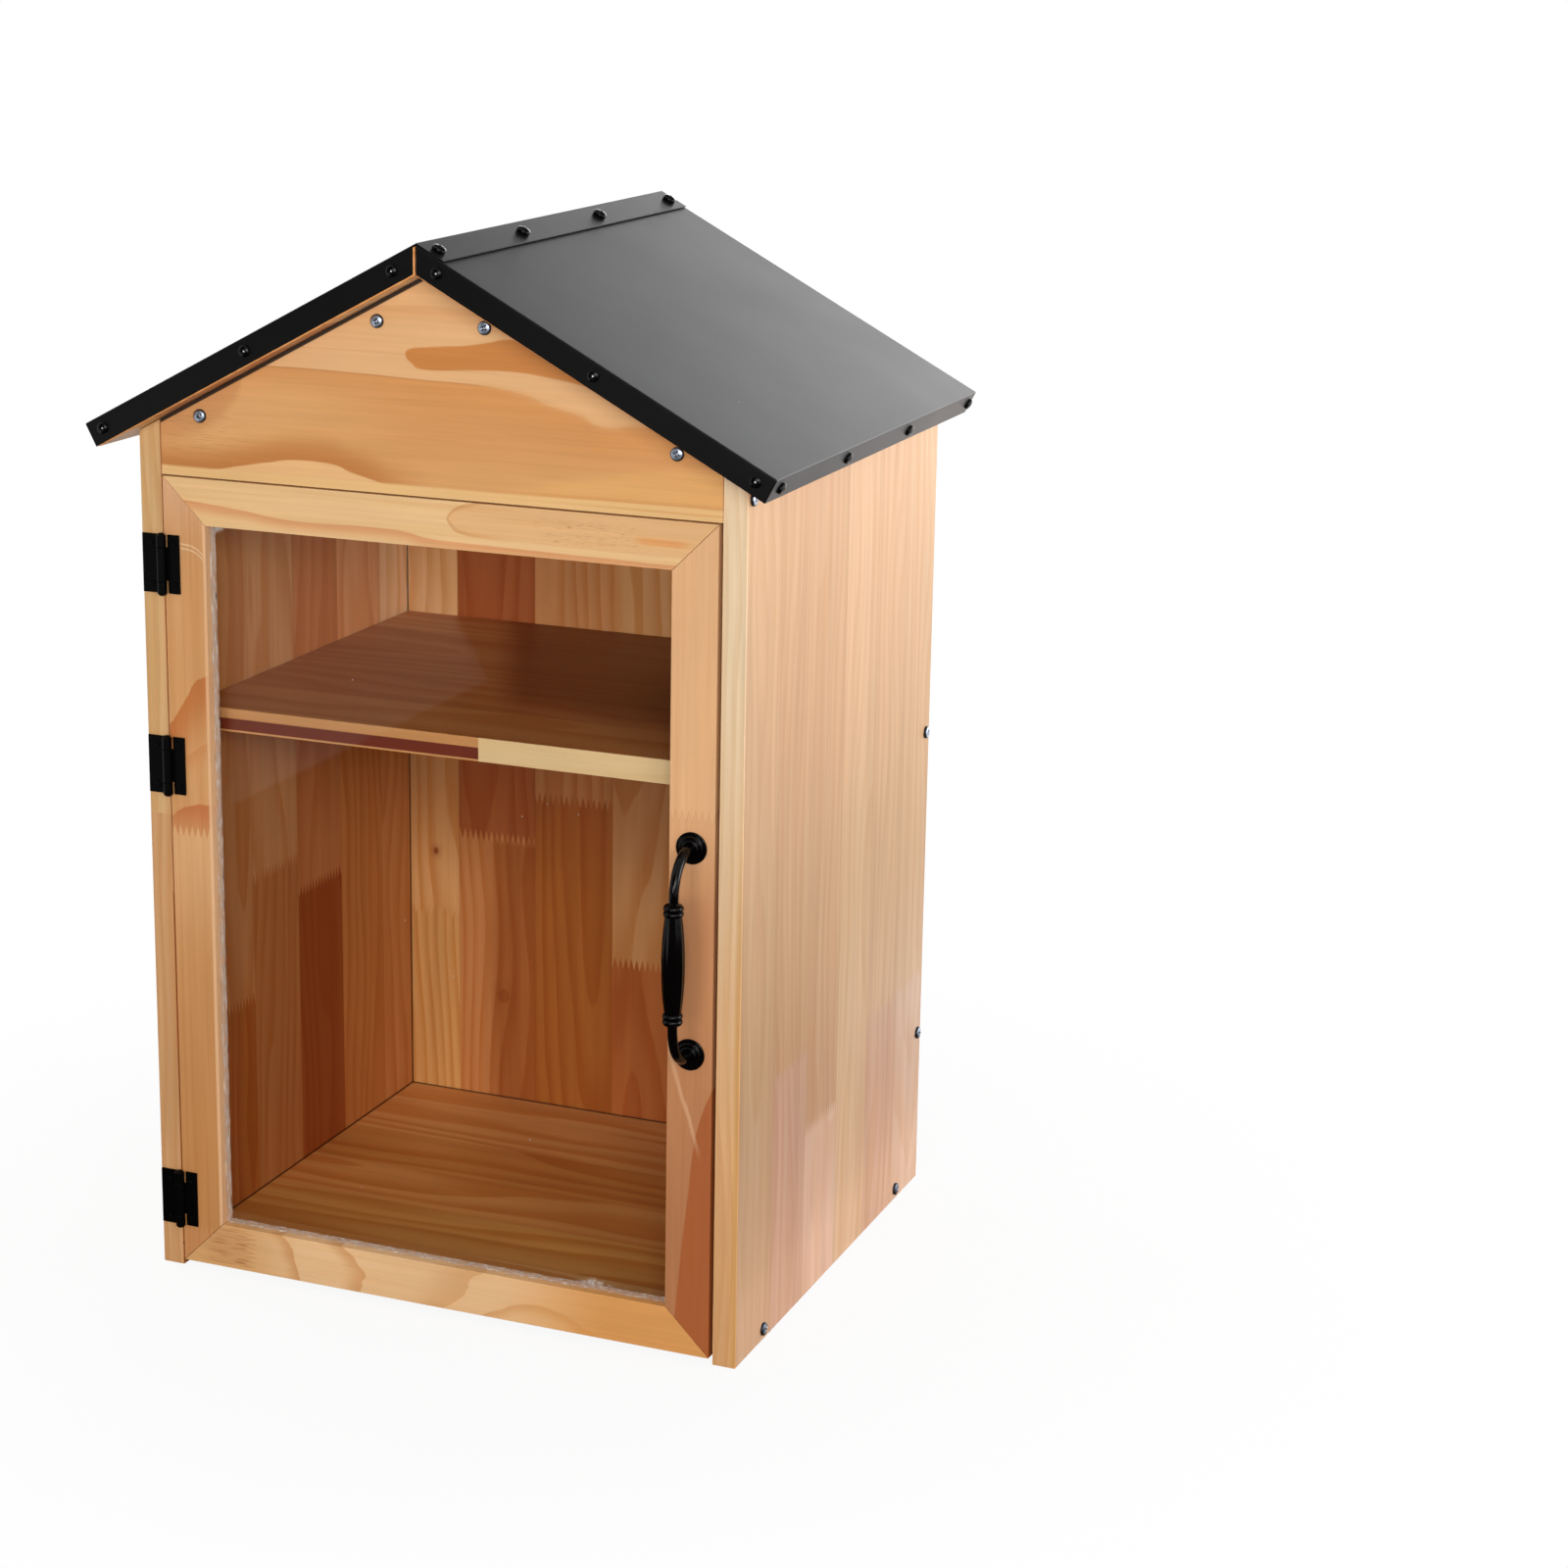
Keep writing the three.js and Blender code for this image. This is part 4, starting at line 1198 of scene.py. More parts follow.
def member(node, finish, place):
    """place(u, y, end) gives the point of the section at u from the outer edge, at either end."""
    shape = loft([place(u, y, -1) for u, y in SECTION], [place(u, y, 1) for u, y in SECTION])
    board(node, shape, finish, "door", FRAME_EDGE)


def stile_end(u, end):
    return door_middle_z + end * (door_half_z - u - MITRE)


def rail_end(u, end):
    return door_middle_x + end * (door_half_x - u)


member("hinge_stile", hinge_stile_pine(), lambda u, y, end: (door_low.x + u, y, stile_end(u, end)))
member("handle_stile", handle_stile_pine(), lambda u, y, end: (
    door_high.x - u, y, stile_end(u, end)))
member("top_rail", top_rail_pine(), lambda u, y, end: (rail_end(u, end), y, door_high.z - u))
member("bottom_rail", bottom_rail_pine(), lambda u, y, end: (rail_end(u, end), y, door_low.z + u))

# Pane and its sealant
BEAD_STEP = 7
CORNER_BLOB = 5
worked("polished", "clear_pane", (acrylic(), "acrylic"), "door", 0.25, 1)


def sealant_bead():
    """A bead round the pane, drawn by hand: its width and its front waver along the way."""
    low, high = span("pane_sealant")
    dice = random.Random(4)
    corners = [(low.x, low.z), (high.x, low.z), (high.x, high.z), (low.x, high.z)]
    at_corners = [(1, 1), (-1, 1), (-1, -1), (1, -1)]
    at_sides = [(0, 1), (-1, 0), (0, -1), (1, 0)]
    shape = bmesh.new()
    rings = []
    for k, (start, end) in enumerate(zip(corners, corners[1:] + corners[:1])):
        length = math.dist(start, end)
        steps = max(8, int(length / BEAD_STEP))
        for s in range(steps):
            share = s / steps
            x, z = (start[0] + (end[0] - start[0]) * share, start[1] + (end[1] - start[1]) * share)
            inward = at_sides[k] if s else at_corners[k]
            near_corner = math.exp(-min(share, 1 - share) * length / CORNER_BLOB)
            width = 0.4 + 0.25 * dice.random() + 0.9 * near_corner * dice.random()
            lead = low.y + 0.9 * dice.random() - 0.3
            section = [(0.0, lead), (width * 0.45, lead + 0.15), (width * 0.85, lead + 0.8),
                       (width, lead + 2.2), (width, high.y), (0.0, high.y)]
            rings.append([shape.verts.new(Vector(
                (x + inward[0] * w, y, z + inward[1] * w)) * MM) for w, y in section])
    return outward(skinned(shape, rings + rings[:1]))


keep("drawn_pane_sealant", sealant_bead(), (sealant_skin(), "sealant"), "door", ["pane_sealant"],
     DRAWN_CREASE)

# Roof skins: folded sheet with rounded folds
SHEET = 0.8
FOLD = 1.1
RIDGE_STRIP = 1.15
FLANGE = 20.0
FLANGE_INSET = 0.1
FLANGE_EDGE = 0.25
FOLD_STEPS = 4
SAME_WAY = 0.99
EAVE_LIP = 0.6
RIDGE_LIP = 1.1
SKIN_OVER_RIDGE = 2.0
ridge_bend = (SEAT + SHEET) / (2 * slope_sine)
roof_look = (powder_coat(), "roof_sheet")


def folded(side, ridge_x):
    """The sheet over one slope with its front, rear and eave edges folded down."""
    lip = RIDGE_STRIP * side
    outline = [(ridge_x, apex + SHEET_TOP / slope_cosine - side * ridge_x * slope_rise),
               down_slope(side, eave_run, SHEET_TOP), down_slope(side, eave_run, EAVE_LIP),
               (lip, above(lip, RIDGE_LIP)), (lip, above(lip, SHEET_TOP - SHEET))]
    shape = prism(outline, roof_low.y, roof_high.y)
    ways = (slope_normal(side), down_eave(side), TO_FRONT, TO_REAR)

    def skin_face(face):
        return any(face.normal.dot(way) > SAME_WAY for way in ways)

    folds = [edge for edge in shape.edges if all(skin_face(face) for face in edge.link_faces)]
    bmesh.ops.delete(shape, geom=[f for f in shape.faces if not skin_face(f)],
                     context="FACES_ONLY")
    rounded(shape, [edge for edge in folds if edge.is_valid], FOLD, FOLD_STEPS)
    bmesh.ops.solidify(shape, geom=shape.faces[:], thickness=SHEET * MM)
    return shape


def flange_strip():
    """The left sheet's lap over the ridge, down the right slope."""
    end = (ridge_bend - FLANGE_TOP * slope_sine) / slope_cosine + FLANGE
    under = FLANGE_TOP - SHEET
    outline = [down_slope(1, end, FLANGE_TOP), (ridge_bend, above(ridge_bend, FLANGE_TOP)),
               (ridge_bend, above(ridge_bend, under)), down_slope(1, end, under)]
    return ease(prism(outline, roof_low.y + FLANGE_INSET, roof_high.y - FLANGE_INSET), FLANGE_EDGE)


keep("folded_left_roof_skin", merged(folded(-1, ridge_bend), flange_strip()), roof_look,
     "carcass", ["left_roof_skin"], FOLDED_CREASE)
keep("folded_right_roof_skin", folded(1, SKIN_OVER_RIDGE), roof_look, "carcass",
     ["right_roof_skin"], FOLDED_CREASE)

# Hinges
LEAF = 1.2
BARREL = 3.0
BORE = 1.7
PIN = 1.4
PIN_DOME = 2.3
KNUCKLE = 7.6
LEAF_EDGE = 0.3
ARM_EDGE = 0.2
ARM_PROUD = 0.02
ARM_OVERLAP = 0.3
ARM_INTO_BARREL = 0.5
BARREL_SIDES = 40
PIN_SIDES = 32
hinge_axis = (-184.75, -173.3)
steel = (gloss_black("black steel", 0.34, (2, 2, 2), 0.06), "black_steel")


def knuckle(low, high):
    """A rolled length of barrel, softly rounded at its ends."""
    edge, length = 0.35, high - low
    profile = [(BORE, 0), (BARREL - edge, 0)] + arc((BARREL - edge, edge), edge, -90, 0, 3)[1:]
    profile += arc((BARREL - edge, length - edge), edge, 0, 90, 3) + [(BORE, length)]
    return spun(profile, BARREL_SIDES, place_on((*hinge_axis, low)))


def leaf(node, body, plate, arm, knuckles):
    """One leaf of a hinge: a flat plate, an arm towards the barrel for each of its knuckles, and
    the knuckles. Both plate and arm say where they start and end in X."""
    low, high = span(node)
    back = front - SEAT
    shape = ease(block((plate[0], back - LEAF, low.z), (plate[1], back, high.z)), LEAF_EDGE)
    for bottom, top in knuckles:
        piece = block((arm[0], back - LEAF - ARM_PROUD, bottom), (arm[1], back, top))
        merged(shape, ease(piece, ARM_EDGE))
        merged(shape, knuckle(bottom, top))
    keep(f"pressed_{node}", shape, steel, body, [node], FOLDED_CREASE)


for level in LEVELS:
    frame_leaf, door_leaf = f"{level}_hinge_frame_leaf", f"{level}_hinge_door_leaf"
    low, high = span(frame_leaf)
    ends = low.z + KNUCKLE, high.z - KNUCKLE
    x = hinge_axis[0]
    near, overlap = BARREL + SEAT, BARREL + SEAT + ARM_OVERLAP
    leaf(frame_leaf, "carcass", (low.x, x - near), (x - overlap, x - ARM_INTO_BARREL),
         ((low.z, ends[0]), (ends[1], high.z)))
    leaf(door_leaf, "door", (x + near, span(door_leaf)[1].x), (x + ARM_INTO_BARREL, x + overlap),
         ((ends[0] + SEAT, ends[1] - SEAT),))
    low, high = span(f"{level}_hinge_pin")
    length = high.z - low.z
    dome = [(PIN_DOME * math.sin(math.radians(a)), 1.0 - math.cos(math.radians(a)))
            for a in range(0, 91, 15)]
    profile = dome + [(PIN, 1.0), (PIN, length - 1.0)] + [
        (r, length - h) for r, h in reversed(dome)]
    place = place_on((*hinge_axis, low.z))
    keep(f"headed_{level}_hinge_pin", spun(profile, PIN_SIDES, place), steel, "carcass",
         [f"{level}_hinge_pin"], FOLDED_CREASE)

# Pull handle
FOOT_SPACING = 64.0
NECK = 3.1
LANDING = 24.0
COLLAR = 6.1
COLLAR_HEIGHT = 8.0
COLLAR_OFFSET = 33.0
GRIP = 7.0
GRIP_END = 4.7
STRAIGHT = 6.0
BEND_STEPS = 24
GRIP_STEPS = 40
FLUTES = 10
FLUTE_FADE = 10
FLUTE_SHARE = 0.07
NECK_SIDES = 32
COLLAR_SIDES = 64
FOOT_SIDES = 72
GRIP_SIDES = 120
handle_x, grip_y, grip_z = 168.0, front - 27.0, 261.5
foot_y = front - SEAT
gloss = (gloss_black("black gloss", 0.14, (2, 1, 1), 0.15), "black_gloss")


def bead(radius, middle, half, reach):
    """The round of one bead on a collar."""
    return [(radius - reach + reach * math.sin(math.radians(a)),
             middle - half * math.cos(math.radians(a))) for a in range(0, 181, 15)]


def neck(shape, end):
    """The bent neck from one foot to the grip."""
    start = foot_y - STRAIGHT
    foot_z = grip_z + end * FOOT_SPACING
    path = [Vector((handle_x, foot_y, foot_z)), Vector((handle_x, foot_y - STRAIGHT / 2, foot_z))]
    for step in range(BEND_STEPS + 1):
        angle = math.pi / 2 * step / BEND_STEPS
        path.append(Vector((handle_x, start + (grip_y - start) * math.sin(angle),
                            foot_z - end * LANDING * (1 - math.cos(angle)))))
    path.append(Vector((handle_x, grip_y, grip_z + end * COLLAR_OFFSET)))
    radii = [3.6, 3.35] + [3.2 - 0.3 * k / BEND_STEPS for k in range(BEND_STEPS + 1)] + [2.9]
    swept(shape, path, radii, NECK_SIDES)


def handle():
    """A fluted grip between two beaded collars, on two bent necks."""
    shape = bmesh.new()
    rim = [(0, 0), (4.4, 0), (5.1, 0.35)]
    collar = rim + bead(COLLAR, 2.3, 1.5, 1.0) + bead(COLLAR, COLLAR_HEIGHT - 2.3, 1.5, 1.0)
    collar += [(radius, COLLAR_HEIGHT - height) for radius, height in reversed(rim)]
    for end in (-1, 1):
        neck(shape, end)
        base = grip_z + end * COLLAR_OFFSET - COLLAR_HEIGHT / 2
        turned(shape, collar, COLLAR_SIDES, place_on((handle_x, grip_y, base)))

    def flute(angle, height):
        fade = min(1.0, (COLLAR_OFFSET - abs(height - COLLAR_OFFSET)) / FLUTE_FADE)
        return 1 - FLUTE_SHARE * fade * (1 + math.cos(FLUTES * angle)) / 2

    rows = [2 * COLLAR_OFFSET * k / GRIP_STEPS for k in range(GRIP_STEPS + 1)]
    grip = [(0, 0)] + [(GRIP_END + (GRIP - GRIP_END) * (1 - (h / COLLAR_OFFSET - 1) ** 2), h)
                       for h in rows] + [(0, 2 * COLLAR_OFFSET)]
    place = place_on((handle_x, grip_y, grip_z - COLLAR_OFFSET))
    turned(shape, grip, GRIP_SIDES, place, flute)
    return outward(shape)


keep("cast_handle_bar", handle(), gloss, "door", ["handle_bar"], TURNED_CREASE)


def rosette():
    """The profile of a round foot in three soft steps."""
    radius, top, bore = 9.75, 3.4, NECK + SEAT
    profile = [(bore, 0), (radius, 0), (radius, 0.7)] + arc((radius - 0.5, 0.8), 0.5, 0, 90, 4)
    profile += arc((7.9, 2.0), 0.7, -90, -180, 3)
    profile += arc((6.7, 1.9), 0.5, 0, 90, 4) + arc((5.4, 3.0), 0.6, -90, -180, 3)
    return profile + arc((4.4, top - 0.4), 0.4, 0, 90, 4) + [(bore, top)]


for word, end in (("upper", 1), ("lower", -1)):
    place = place_on((handle_x, foot_y, grip_z + end * FOOT_SPACING), TO_FRONT)
    keep(f"cast_{word}_handle_rosette", spun(rosette(), FOOT_SIDES, place), gloss, "door",
         [f"{word}_handle_rosette"], TURNED_CREASE)

# Catch, strike plate and shelf pins
PIN_EDGE = 0.5
zinc = (zinc_plate(), "zinc")
worked("moulded", "magnet_catch_case", (moulded("catch plastic", (104, 70, 44), 0.42),
                                        "catch_plastic"), "carcass", 0.5, 3)
worked("ground", "catch_magnet", (moulded("magnet", (52, 52, 55), 0.5), "magnet"), "carcass",
       0.35, 2)
keep("stamped_catch_strike_plate", ease(block(*span("catch_strike_plate")), 0.3), zinc, "door",
     ["catch_strike_plate"])
for number in range(1, 5):
    node = f"shelf_pin_{number}"
    low, high = span(node)
    radius, length = (high.z - low.z) / 2, high.x - low.x
    profile = [(0, 0)] + arc((radius - PIN_EDGE, PIN_EDGE), PIN_EDGE, -90, 0, 3) + arc(
        (radius - PIN_EDGE, length - PIN_EDGE), PIN_EDGE, 0, 90, 3) + [(0, length)]
    place = place_on((low.x, (low.y + high.y) / 2, (low.z + high.z) / 2), TO_RIGHT)
    keep(f"rounded_{node}", spun(profile, PIN_SIDES, place), zinc, "carcass", [node],
         FOLDED_CREASE)

# Screws, set out on points by Geometry Nodes
HEAD_RINGS = 13
HEAD_SIDES = 48
HEAD_TOP = 0.97
DOME_SPREAD = 0.98
CROSS_REACH = 0.56
CROSS_HALF = 0.105
CROSS_DEPTH = 0.62
CROSS_MIDDLE = 0.24
SUNK = 0.05


def dome_height(radius, crown):
    return (1 - crown) + crown * math.sqrt(max(0.0, 1 - (radius * DOME_SPREAD) ** 2))


def clamped(value):
    return min(1.0, max(0.0, value))


def head_height(radius, angle, crown):
    """The height of a unit pan head with a cross recess, at a place on its top."""
    x, y = abs(radius * math.cos(angle)), abs(radius * math.sin(angle))
    narrow, wide = min(x, y), max(x, y)
    side = clamped((CROSS_HALF * (1.15 - 0.5 * wide / CROSS_REACH) - narrow) / 0.05)
    end = clamped((CROSS_REACH - wide) / 0.12)
    middle = clamped((CROSS_MIDDLE - math.hypot(x, y)) / 0.08)
    return dome_height(radius, crown) - CROSS_DEPTH * max(side * end, middle)


def unit_head(name, crown):
    """One screw head of radius 1 and height 1, flat underneath, as a scratch object. It stores
    how far each vertex is from the middle and how deep it lies in the recess."""
    shape = bmesh.new()
    edge = head_height(HEAD_TOP, math.pi / 4, crown)
    rows = [(HEAD_TOP * k / HEAD_RINGS, None) for k in range(1, HEAD_RINGS + 1)]
    rows += [(1.0, edge * 0.72), (1.0, edge * 0.2), (0.95, 0.0)]
    angles = [2 * math.pi * n / HEAD_SIDES for n in range(HEAD_SIDES)]
    rings = [[shape.verts.new((0, 0, head_height(0, 0, crown)))]]
    for radius, height in rows:
        rings.append([shape.verts.new((
            radius * math.cos(a), radius * math.sin(a),
            head_height(radius, a, crown) if height is None else height)) for a in angles])
    rings.append([shape.verts.new((0, 0, 0))])
    mesh = mesh_of(name, outward(skinned(shape, rings)))
    rim = mesh.attributes.new("rim", "FLOAT", "POINT")
    sunk = mesh.attributes.new("sunk", "FLOAT", "POINT")
    for number, vertex in enumerate(mesh.vertices):
        reach = math.hypot(vertex.co.x, vertex.co.y)
        depth = max(0.0, dome_height(reach, crown) - vertex.co.z)
        rim.data[number].value = reach
        sunk.data[number].value = depth if reach < CROSS_REACH + 0.1 else 0.0
    return into_scene(name, mesh)


def screw_tree():
    """Sets a head on every point, along the point's facing and turned by chance."""
    tree = bpy.data.node_groups.new("screw setting", "GeometryNodeTree")
    for name, kind in (("Places", "Geometry"), ("Head", "Object"), ("Head radius", "Float"),
                       ("Head height", "Float"), ("Seed", "Int"), ("Finish", "Material")):
        tree.interface.new_socket(name, in_out="INPUT", socket_type=f"NodeSocket{kind}")
    tree.interface.new_socket("Screws", in_out="OUTPUT", socket_type="NodeSocketGeometry")
    setting = Wiring(tree)
    given = setting.add("NodeGroupInput").outputs
    facing = setting.node("GeometryNodeInputNamedAttribute", {"data_type": "FLOAT_VECTOR"},
                          {"Name": "facing"}, "Attribute")
    upright = setting.node("FunctionNodeAlignRotationToVector", {"axis": "Z"}, {"Vector": facing})
    chance = setting.add("FunctionNodeRandomValue", {"data_type": "FLOAT"}, {
        "Min": 0.0, "Max": math.pi, "Seed": given["Seed"]})
    turn = setting.node("FunctionNodeAxisAngleToRotation", None, {
        "Axis": (0.0, 0.0, 1.0),
        "Angle": [s for s in chance.outputs if s.name == "Value" and s.type == "VALUE"][0]})
    both = setting.node("FunctionNodeRotateRotation", {"rotation_space": "LOCAL"}, {
        "Rotation": upright, "Rotate By": turn})
    size = setting.node("ShaderNodeCombineXYZ", None, {
        0: given["Head radius"], 1: given["Head radius"], 2: given["Head height"]})
    head = setting.node("GeometryNodeObjectInfo", None, {"Object": given["Head"]}, "Geometry")
    placed = setting.node("GeometryNodeInstanceOnPoints", None, {
        "Points": given["Places"], "Instance": head, "Rotation": both, "Scale": size})
    real = setting.node("GeometryNodeRealizeInstances", None, {0: placed})
    painted = setting.node("GeometryNodeSetMaterial", None, {
        "Geometry": real, "Material": given["Finish"]})
    setting.add("NodeGroupOutput", None, {0: painted})
    return tree


SCREWS = screw_tree()
PAN_HEAD = unit_head("pan_head", 0.5)
FLAT_HEAD = unit_head("flat_head", 0.12)

# Kinds of screw: head, its radius and its height
BOARD_SCREW = (PAN_HEAD, 4.15, 2.4)
RIDGE_SCREW = (PAN_HEAD, 4.25, 3.2)
FOLD_SCREW = (PAN_HEAD, 3.6, 2.2)
HINGE_SCREW = (FLAT_HEAD, 2.3, 0.5)
HANDLE_SCREW = (PAN_HEAD, 3.8, 2.2)
STRIKE_SCREW = (PAN_HEAD, 2.5, 1.4)
PANE_SCREW = (PAN_HEAD, 3.0, 1.6)
BATTEN_SCREW = (FLAT_HEAD, 4.0, 1.2)
CASE_SCREW = (PAN_HEAD, 2.6, 1.4)

# Places of screws that the middles of the part's nodes don't give
TOP_SCREW_DROP = 12
RIDGE_SCREWS_X = 10.5
FOLD_SCREWS_X = (14.4, 113.0, 212.5)
FOLD_SCREW_LIFT = 8.6
EAVE_SCREWS_Y = (-175.0, -65.0, 46.5, 165.0)
EAVE_SCREW_LIFT = 8.1
HINGE_SCREWS_X = (("carcass", -193.5), ("door", -177.5))
HINGE_SCREW_RISE = 13
STRIKE_SCREW_DROP = 5
PANE_SCREW_INSET = 4.5
PANE_SCREWS_X = (-80.0, 80.0)
PANE_SCREWS_Z = (80.0, 261.5, 443.0)
BATTEN_SCREWS_Y = (-95.0, 95.0)
CASE_SCREW_INSET = 4
CASE_SCREW_DEPTH = 2.0


def set_screws(name, places, kind, look, body, seed, stands_for=()):
    """One plain mesh of all the screws of a kind on a body; places are (point, facing) in mm."""
    head, radius, height = kind
    points = bpy.data.meshes.new(name + "_places")
    points.from_pydata([(Vector(at) - Vector(facing) * SUNK) * MM for at, facing in places],
                       [], [])
    heading = points.attributes.new("facing", "FLOAT_VECTOR", "POINT")
    heading.data.foreach_set("vector", [c for _, facing in places for c in facing])
    holder = into_scene(name + "_places", points)
    setting = holder.modifiers.new("setting", "NODES")
    setting.node_group = SCREWS
    given = {"Head": head, "Head radius": radius * MM, "Head height": height * MM,
             "Seed": seed, "Finish": look[0]}
    for item in SCREWS.interface.items_tree:
        if item.in_out == "INPUT" and item.name in given:
            setting[item.identifier] = given[item.name]
    ready = holder.evaluated_get(bpy.context.evaluated_depsgraph_get())
    mesh = bpy.data.meshes.new_from_object(ready)
    holder.modifiers.remove(setting)
    bpy.data.objects.remove(holder)
    return adopt(name, mesh, look, body, stands_for, TURNED_CREASE)


def numbered(start, count):
    return [f"{start}_{k}" for k in range(1, count + 1)]


def over(names, facing, x=None, y=None, z=None):
    """A place at the middle of each node, apart from the coordinates that are given."""
    return [([own if given is None else given for own, given in zip(middle_of(name), (x, y, z))],
             facing) for name in names]


for word, side in SIDES:
    names = numbered(f"{word}_side_screw", 5)
    places = over(names, TO_RIGHT * side, x=side * body_half)
    places.append(((side * body_half, rear - BOARD / 2, wall_top - TOP_SCREW_DROP), TO_RIGHT * side))
    set_screws(f"zinc_{word}_side_screws", places, BOARD_SCREW, zinc, "carcass", 11 + side, names)

names = numbered("gable_screw", 4)
set_screws("zinc_gable_screws", over(names, TO_FRONT, y=front), BOARD_SCREW, zinc, "carcass", 3,
           names)
set_screws("zinc_rear_gable_screws", over(names, TO_REAR, y=rear), BOARD_SCREW, zinc, "carcass", 5)

names = numbered("ridge_screw", 4)
places = over(names, slope_normal(1), x=RIDGE_SCREWS_X, z=above(RIDGE_SCREWS_X, FLANGE_TOP))
set_screws("black_ridge_screws", places, RIDGE_SCREW, gloss, "carcass", 7, names)

# The black roof screws get a painted glint at the middle of each head
roof_screw = (gloss_black("black screw", 0.2, (2, 2, 2), 0.2, painted_glint=0.85), "black_gloss")
places = [((side * x, y, above(x, FOLD_SCREW_LIFT)), facing)
          for y, facing in ((roof_low.y, TO_FRONT), (roof_high.y, TO_REAR))
          for side in (-1, 1) for x in FOLD_SCREWS_X]
set_screws("black_fold_screws", places, FOLD_SCREW, roof_screw, "carcass", 9)
places = []
for side in (-1, 1):
    x, z = down_slope(side, eave_run, EAVE_SCREW_LIFT)
    places += [((x, y, z), down_eave(side)) for y in EAVE_SCREWS_Y]
set_screws("black_eave_screws", places, FOLD_SCREW, roof_screw, "carcass", 13)

for body, x in HINGE_SCREWS_X:
    places = [((x, front - SEAT - LEAF, middle_of(f"{level}_hinge_frame_leaf").z + rise), TO_FRONT)
              for level in LEVELS for rise in (-HINGE_SCREW_RISE, HINGE_SCREW_RISE)]
    set_screws(f"black_hinge_screws_{body}", places, HINGE_SCREW, steel, body, 17)

names = numbered("handle_screw", 2)
set_screws("zinc_handle_screws", over(names, TO_REAR, x=handle_x, y=door_back), HANDLE_SCREW,
           zinc, "door", 19, names)
low, high = span("catch_strike_plate")
places = [(((low.x + high.x) / 2, high.y, high.z - STRIKE_SCREW_DROP), TO_REAR)]
set_screws("zinc_strike_screw", places, STRIKE_SCREW, zinc, "door", 23, ["strike_screw"])
places = [((x, pane_high.y, z), TO_REAR)
          for x in (pane_low.x + PANE_SCREW_INSET, pane_high.x - PANE_SCREW_INSET)
          for z in PANE_SCREWS_Z]
places += [((x, pane_high.y, z), TO_REAR) for x in PANE_SCREWS_X
           for z in (pane_low.z + PANE_SCREW_INSET, pane_high.z - PANE_SCREW_INSET)]
set_screws("zinc_pane_screws", places, PANE_SCREW, zinc, "door", 29)
places = []
for side, middle in batten_middles:
    x, z = down_slope(side, middle, -SEAT - BATTEN)
    places += [((x, y, z), -slope_normal(side)) for y in BATTEN_SCREWS_Y]
set_screws("zinc_batten_screws", places, BATTEN_SCREW, zinc, "carcass", 31)
low, high = span("magnet_catch_case")
places = [((high.x - CASE_SCREW_DEPTH, (low.y + high.y) / 2, z), -TO_RIGHT)
          for z in (low.z + CASE_SCREW_INSET, high.z - CASE_SCREW_INSET)]
set_screws("zinc_catch_screws", places, CASE_SCREW, zinc, "carcass", 37)

for spare in (PAN_HEAD, FLAT_HEAD):
    bpy.data.objects.remove(spare)

# Floor, and the dark and bright cards that only polished surfaces mirror
FLOOR_GREY = (0.34, 0.34, 0.34, 1.0)
FLOOR_PALE = (0.9, 0.9, 0.9, 1.0)
TABLE = [(-0.71, 0.45), (-0.71, -1.68), (-1.21, -2.45), (-6.9, -2.45), (-6.9, -6.5), (3.0, -6.5),
         (3.0, -3.5), (1.6, -3.5), (1.6, 0.45)]
REAR_GROUND = [(-3.0, 1.45), (3.0, 1.45), (3.0, 3.4), (-3.0, 3.4)]
CARD_DEPTH = -0.0003
FLOOR_DEPTH = -0.0006
FLOOR_SIZE = 14


def floor_finish():
    """White to the camera, where the object's shadow shows, and greyer to the light it returns."""
    ground = Finish("studio floor")
    seen = ground.seen()
    reach = (ground.x * ground.x + ground.y * ground.y).root()
    shaded = ground.surface(Base_Color=ground.mix(seen, FLOOR_GREY, FLOOR_PALE),
                            Roughness=0.75 + ground.noise(30, detail=3.0) * 0.1,
                            Specular_IOR_Level=0.1)
    far = seen * (0.90 + reach.rise(150, 700) * 0.10)
    return ground.finish(ground.blend(far, shaded, ground.shine(WHITE)))


def card_finish(name, dark, bright, strength=1.0, glow=None):
    """A card that shines by itself in a faint cloud of two colours. glow scales it by height."""
    card = Finish(name)
    tone = card.mix(card.noise(300), dark, bright)
    if glow:
        tone = card.brighten(tone, glow(card.z))
    return card.finish(card.shine(tone, strength))


def rear_glow(z):
    """Bright near the floor and darker upwards, as the roof mirrors it."""
    return 1.0 - z.rise(1450, 1900) * 0.56 - z.rise(1900, 2250) * 0.32 - z.rise(2250, 2700) * 0.10


def lying(outline):
    return [(x, y, CARD_DEPTH) for x, y in outline]


def standing(half, y, top):
    return [(-half, y, 0.0), (half, y, 0.0), (half, y, top), (-half, y, top)]


bpy.ops.mesh.primitive_plane_add(size=FLOOR_SIZE, location=(0, 0, FLOOR_DEPTH))
floor = bpy.context.object
floor.name = "studio_floor"
floor.data.materials.append(floor_finish())

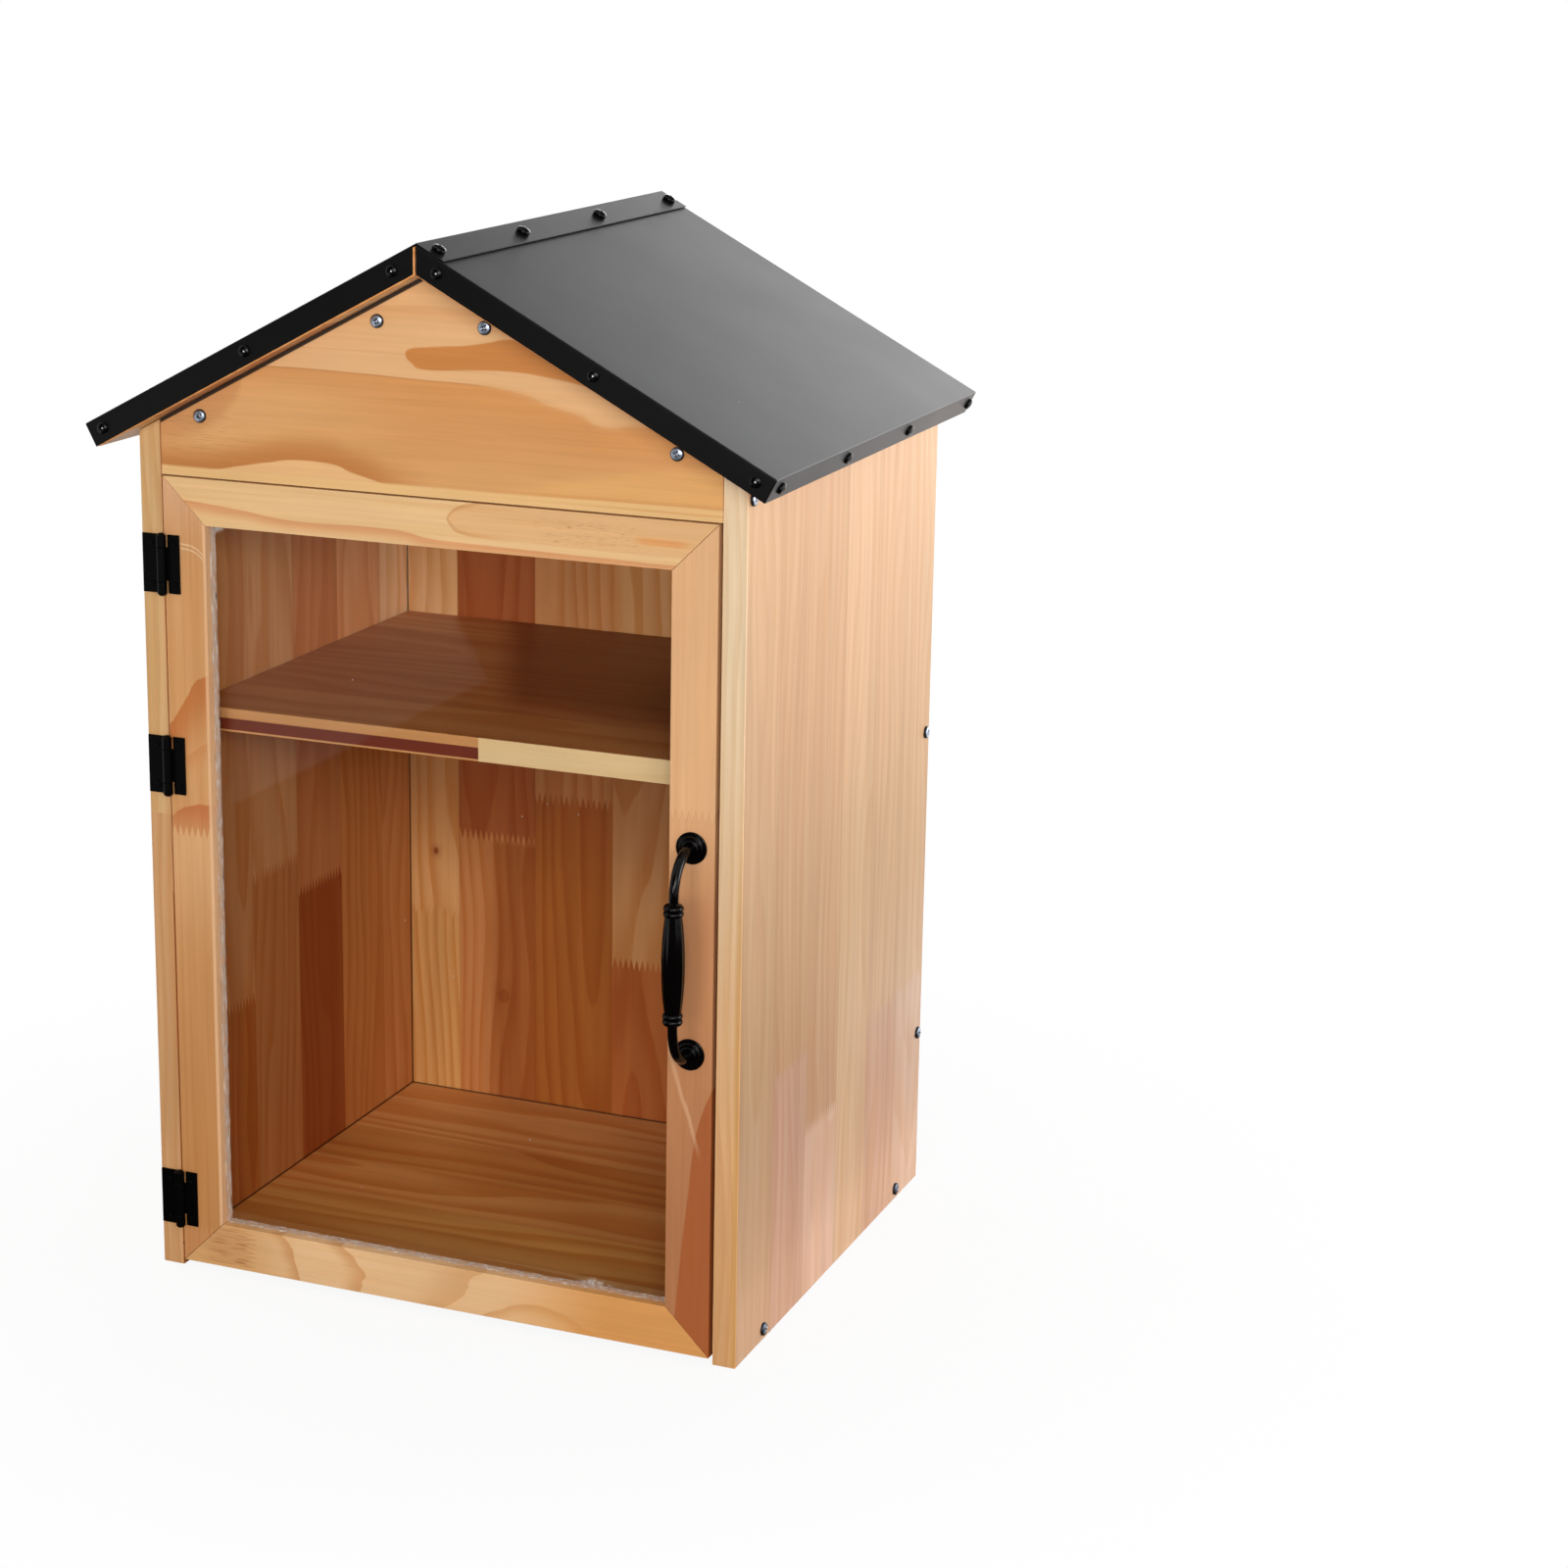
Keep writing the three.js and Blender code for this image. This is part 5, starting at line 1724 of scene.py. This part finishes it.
dark_card = card_finish("dark card", (34, 26, 20), (52, 40, 30))
rear_ground = card_finish("rear ground", (255, 240, 234), (255, 246, 242), 1.55)
rear_wall = card_finish("rear wall", (250, 250, 252), (255, 255, 255), 4.3, rear_glow)
for name, corners, paper in (
        ("studio_rear_ground", lying(REAR_GROUND), rear_ground),
        ("studio_table", lying(TABLE), dark_card),
        ("studio_flag", standing(6.9, -6.5, 6.0), dark_card),
        ("studio_rear_wall", standing(6.0, 3.4, 8.0), rear_wall)):
    sheet = bpy.data.meshes.new(name)
    sheet.from_pydata(corners, [], [tuple(range(len(corners)))])
    sheet.materials.append(paper)
    card = into_scene(name, sheet)
    for kind in ("camera", "diffuse", "transmission", "shadow", "volume_scatter"):
        setattr(card, f"visible_{kind}", False)

# World: white to the camera and dim to the light it gives
WORLD_LIGHT = 0.26
world = bpy.data.worlds.new("studio")
bpy.context.scene.world = world
world.use_nodes = True
sky = Wiring(world.node_tree)
dim, white = [sky.node("ShaderNodeBackground", None, {"Color": WHITE, "Strength": strength})
              for strength in (WORLD_LIGHT, 1.0)]
sky.add("ShaderNodeOutputWorld", None, {"Surface": sky.blend(sky.seen(), dim, white)})

# Lamps: a name, a place and an aim in metres, a width and a height, and watts
LAMPS = [
    ("front", (0.1, -4.7, 0.9), (0, 0, 0.28), (1.4, 1.2), 54),
    ("key", (1.9, -4.1, 1.45), (0, 0, 0.28), (1.1, 1.1), 62),
    ("cross", (3.15, -3.2, 1.6), (0, 0, 0.28), (0.9, 0.9), 32),
    ("lift", (0.9, -1.9, 1.35), (0, 0, 0.2), (0.7, 0.7), 5),
    ("fill", (0.165, 0.0, 0.440), (-0.185, 0.060, 0.430), (0.22, 0.05), 0.045),
    ("side", (2.3, 0.5, 0.6), (0, 0, 0.3), (0.9, 0.9), 26),
    ("rear", (0.0, 3.2, 2.0), (0, 0, 0.6), (4.0, 2.4), 44),
    ("left", (-2.3, 0.9, 0.8), (0, 0, 0.3), (0.9, 0.9), 20),
]
UNMIRRORED = ("fill", "rear", "left")
FILL_SPREAD = math.radians(80)

for name, place, aim, (width, height), watts in LAMPS:
    data = bpy.data.lights.new(name, "AREA")
    data.shape = "RECTANGLE"
    data.size, data.size_y, data.energy = width, height, watts
    if name == "fill":
        data.spread = FILL_SPREAD
    lamp = into_scene(name, data)
    lamp.location = place
    lamp.rotation_euler = (Vector(aim) - Vector(place)).to_track_quat("-Z", "Y").to_euler()
    lamp.visible_camera = False
    lamp.visible_glossy = name not in UNMIRRORED

# Camera, as it was solved from the photo
LENS_PIXELS = 3407.06
IMAGE_PIXELS = 1600
PRINCIPAL = (665, 747)
SENSOR = 36
CAMERA_PLACE = Vector((0.87938, -1.90535, 0.88041))
YAW, PITCH, ROLL = 0.4019, 0.2531, 0.0082


def photo_camera():
    ahead = Vector((-math.sin(YAW) * math.cos(PITCH), math.cos(YAW) * math.cos(PITCH),
                    -math.sin(PITCH)))
    right = Vector((math.cos(YAW), math.sin(YAW), 0))
    up = right.cross(ahead)
    rolled_right = right * math.cos(ROLL) + up * math.sin(ROLL)
    rolled_up = up * math.cos(ROLL) - right * math.sin(ROLL)
    data = bpy.data.cameras.new("camera")
    data.sensor_width = SENSOR
    data.sensor_fit = "HORIZONTAL"
    data.lens = LENS_PIXELS / IMAGE_PIXELS * SENSOR
    data.shift_x = (IMAGE_PIXELS / 2 - PRINCIPAL[0]) / IMAGE_PIXELS
    data.shift_y = (PRINCIPAL[1] - IMAGE_PIXELS / 2) / IMAGE_PIXELS
    data.clip_start, data.clip_end = 0.05, 40
    camera = into_scene("camera", data)
    turn = Matrix((rolled_right, rolled_up, -ahead)).transposed().to_4x4()
    camera.matrix_world = Matrix.Translation(CAMERA_PLACE) @ turn
    bpy.context.scene.camera = camera


photo_camera()
bpy.context.scene.view_settings.view_transform = "Standard"
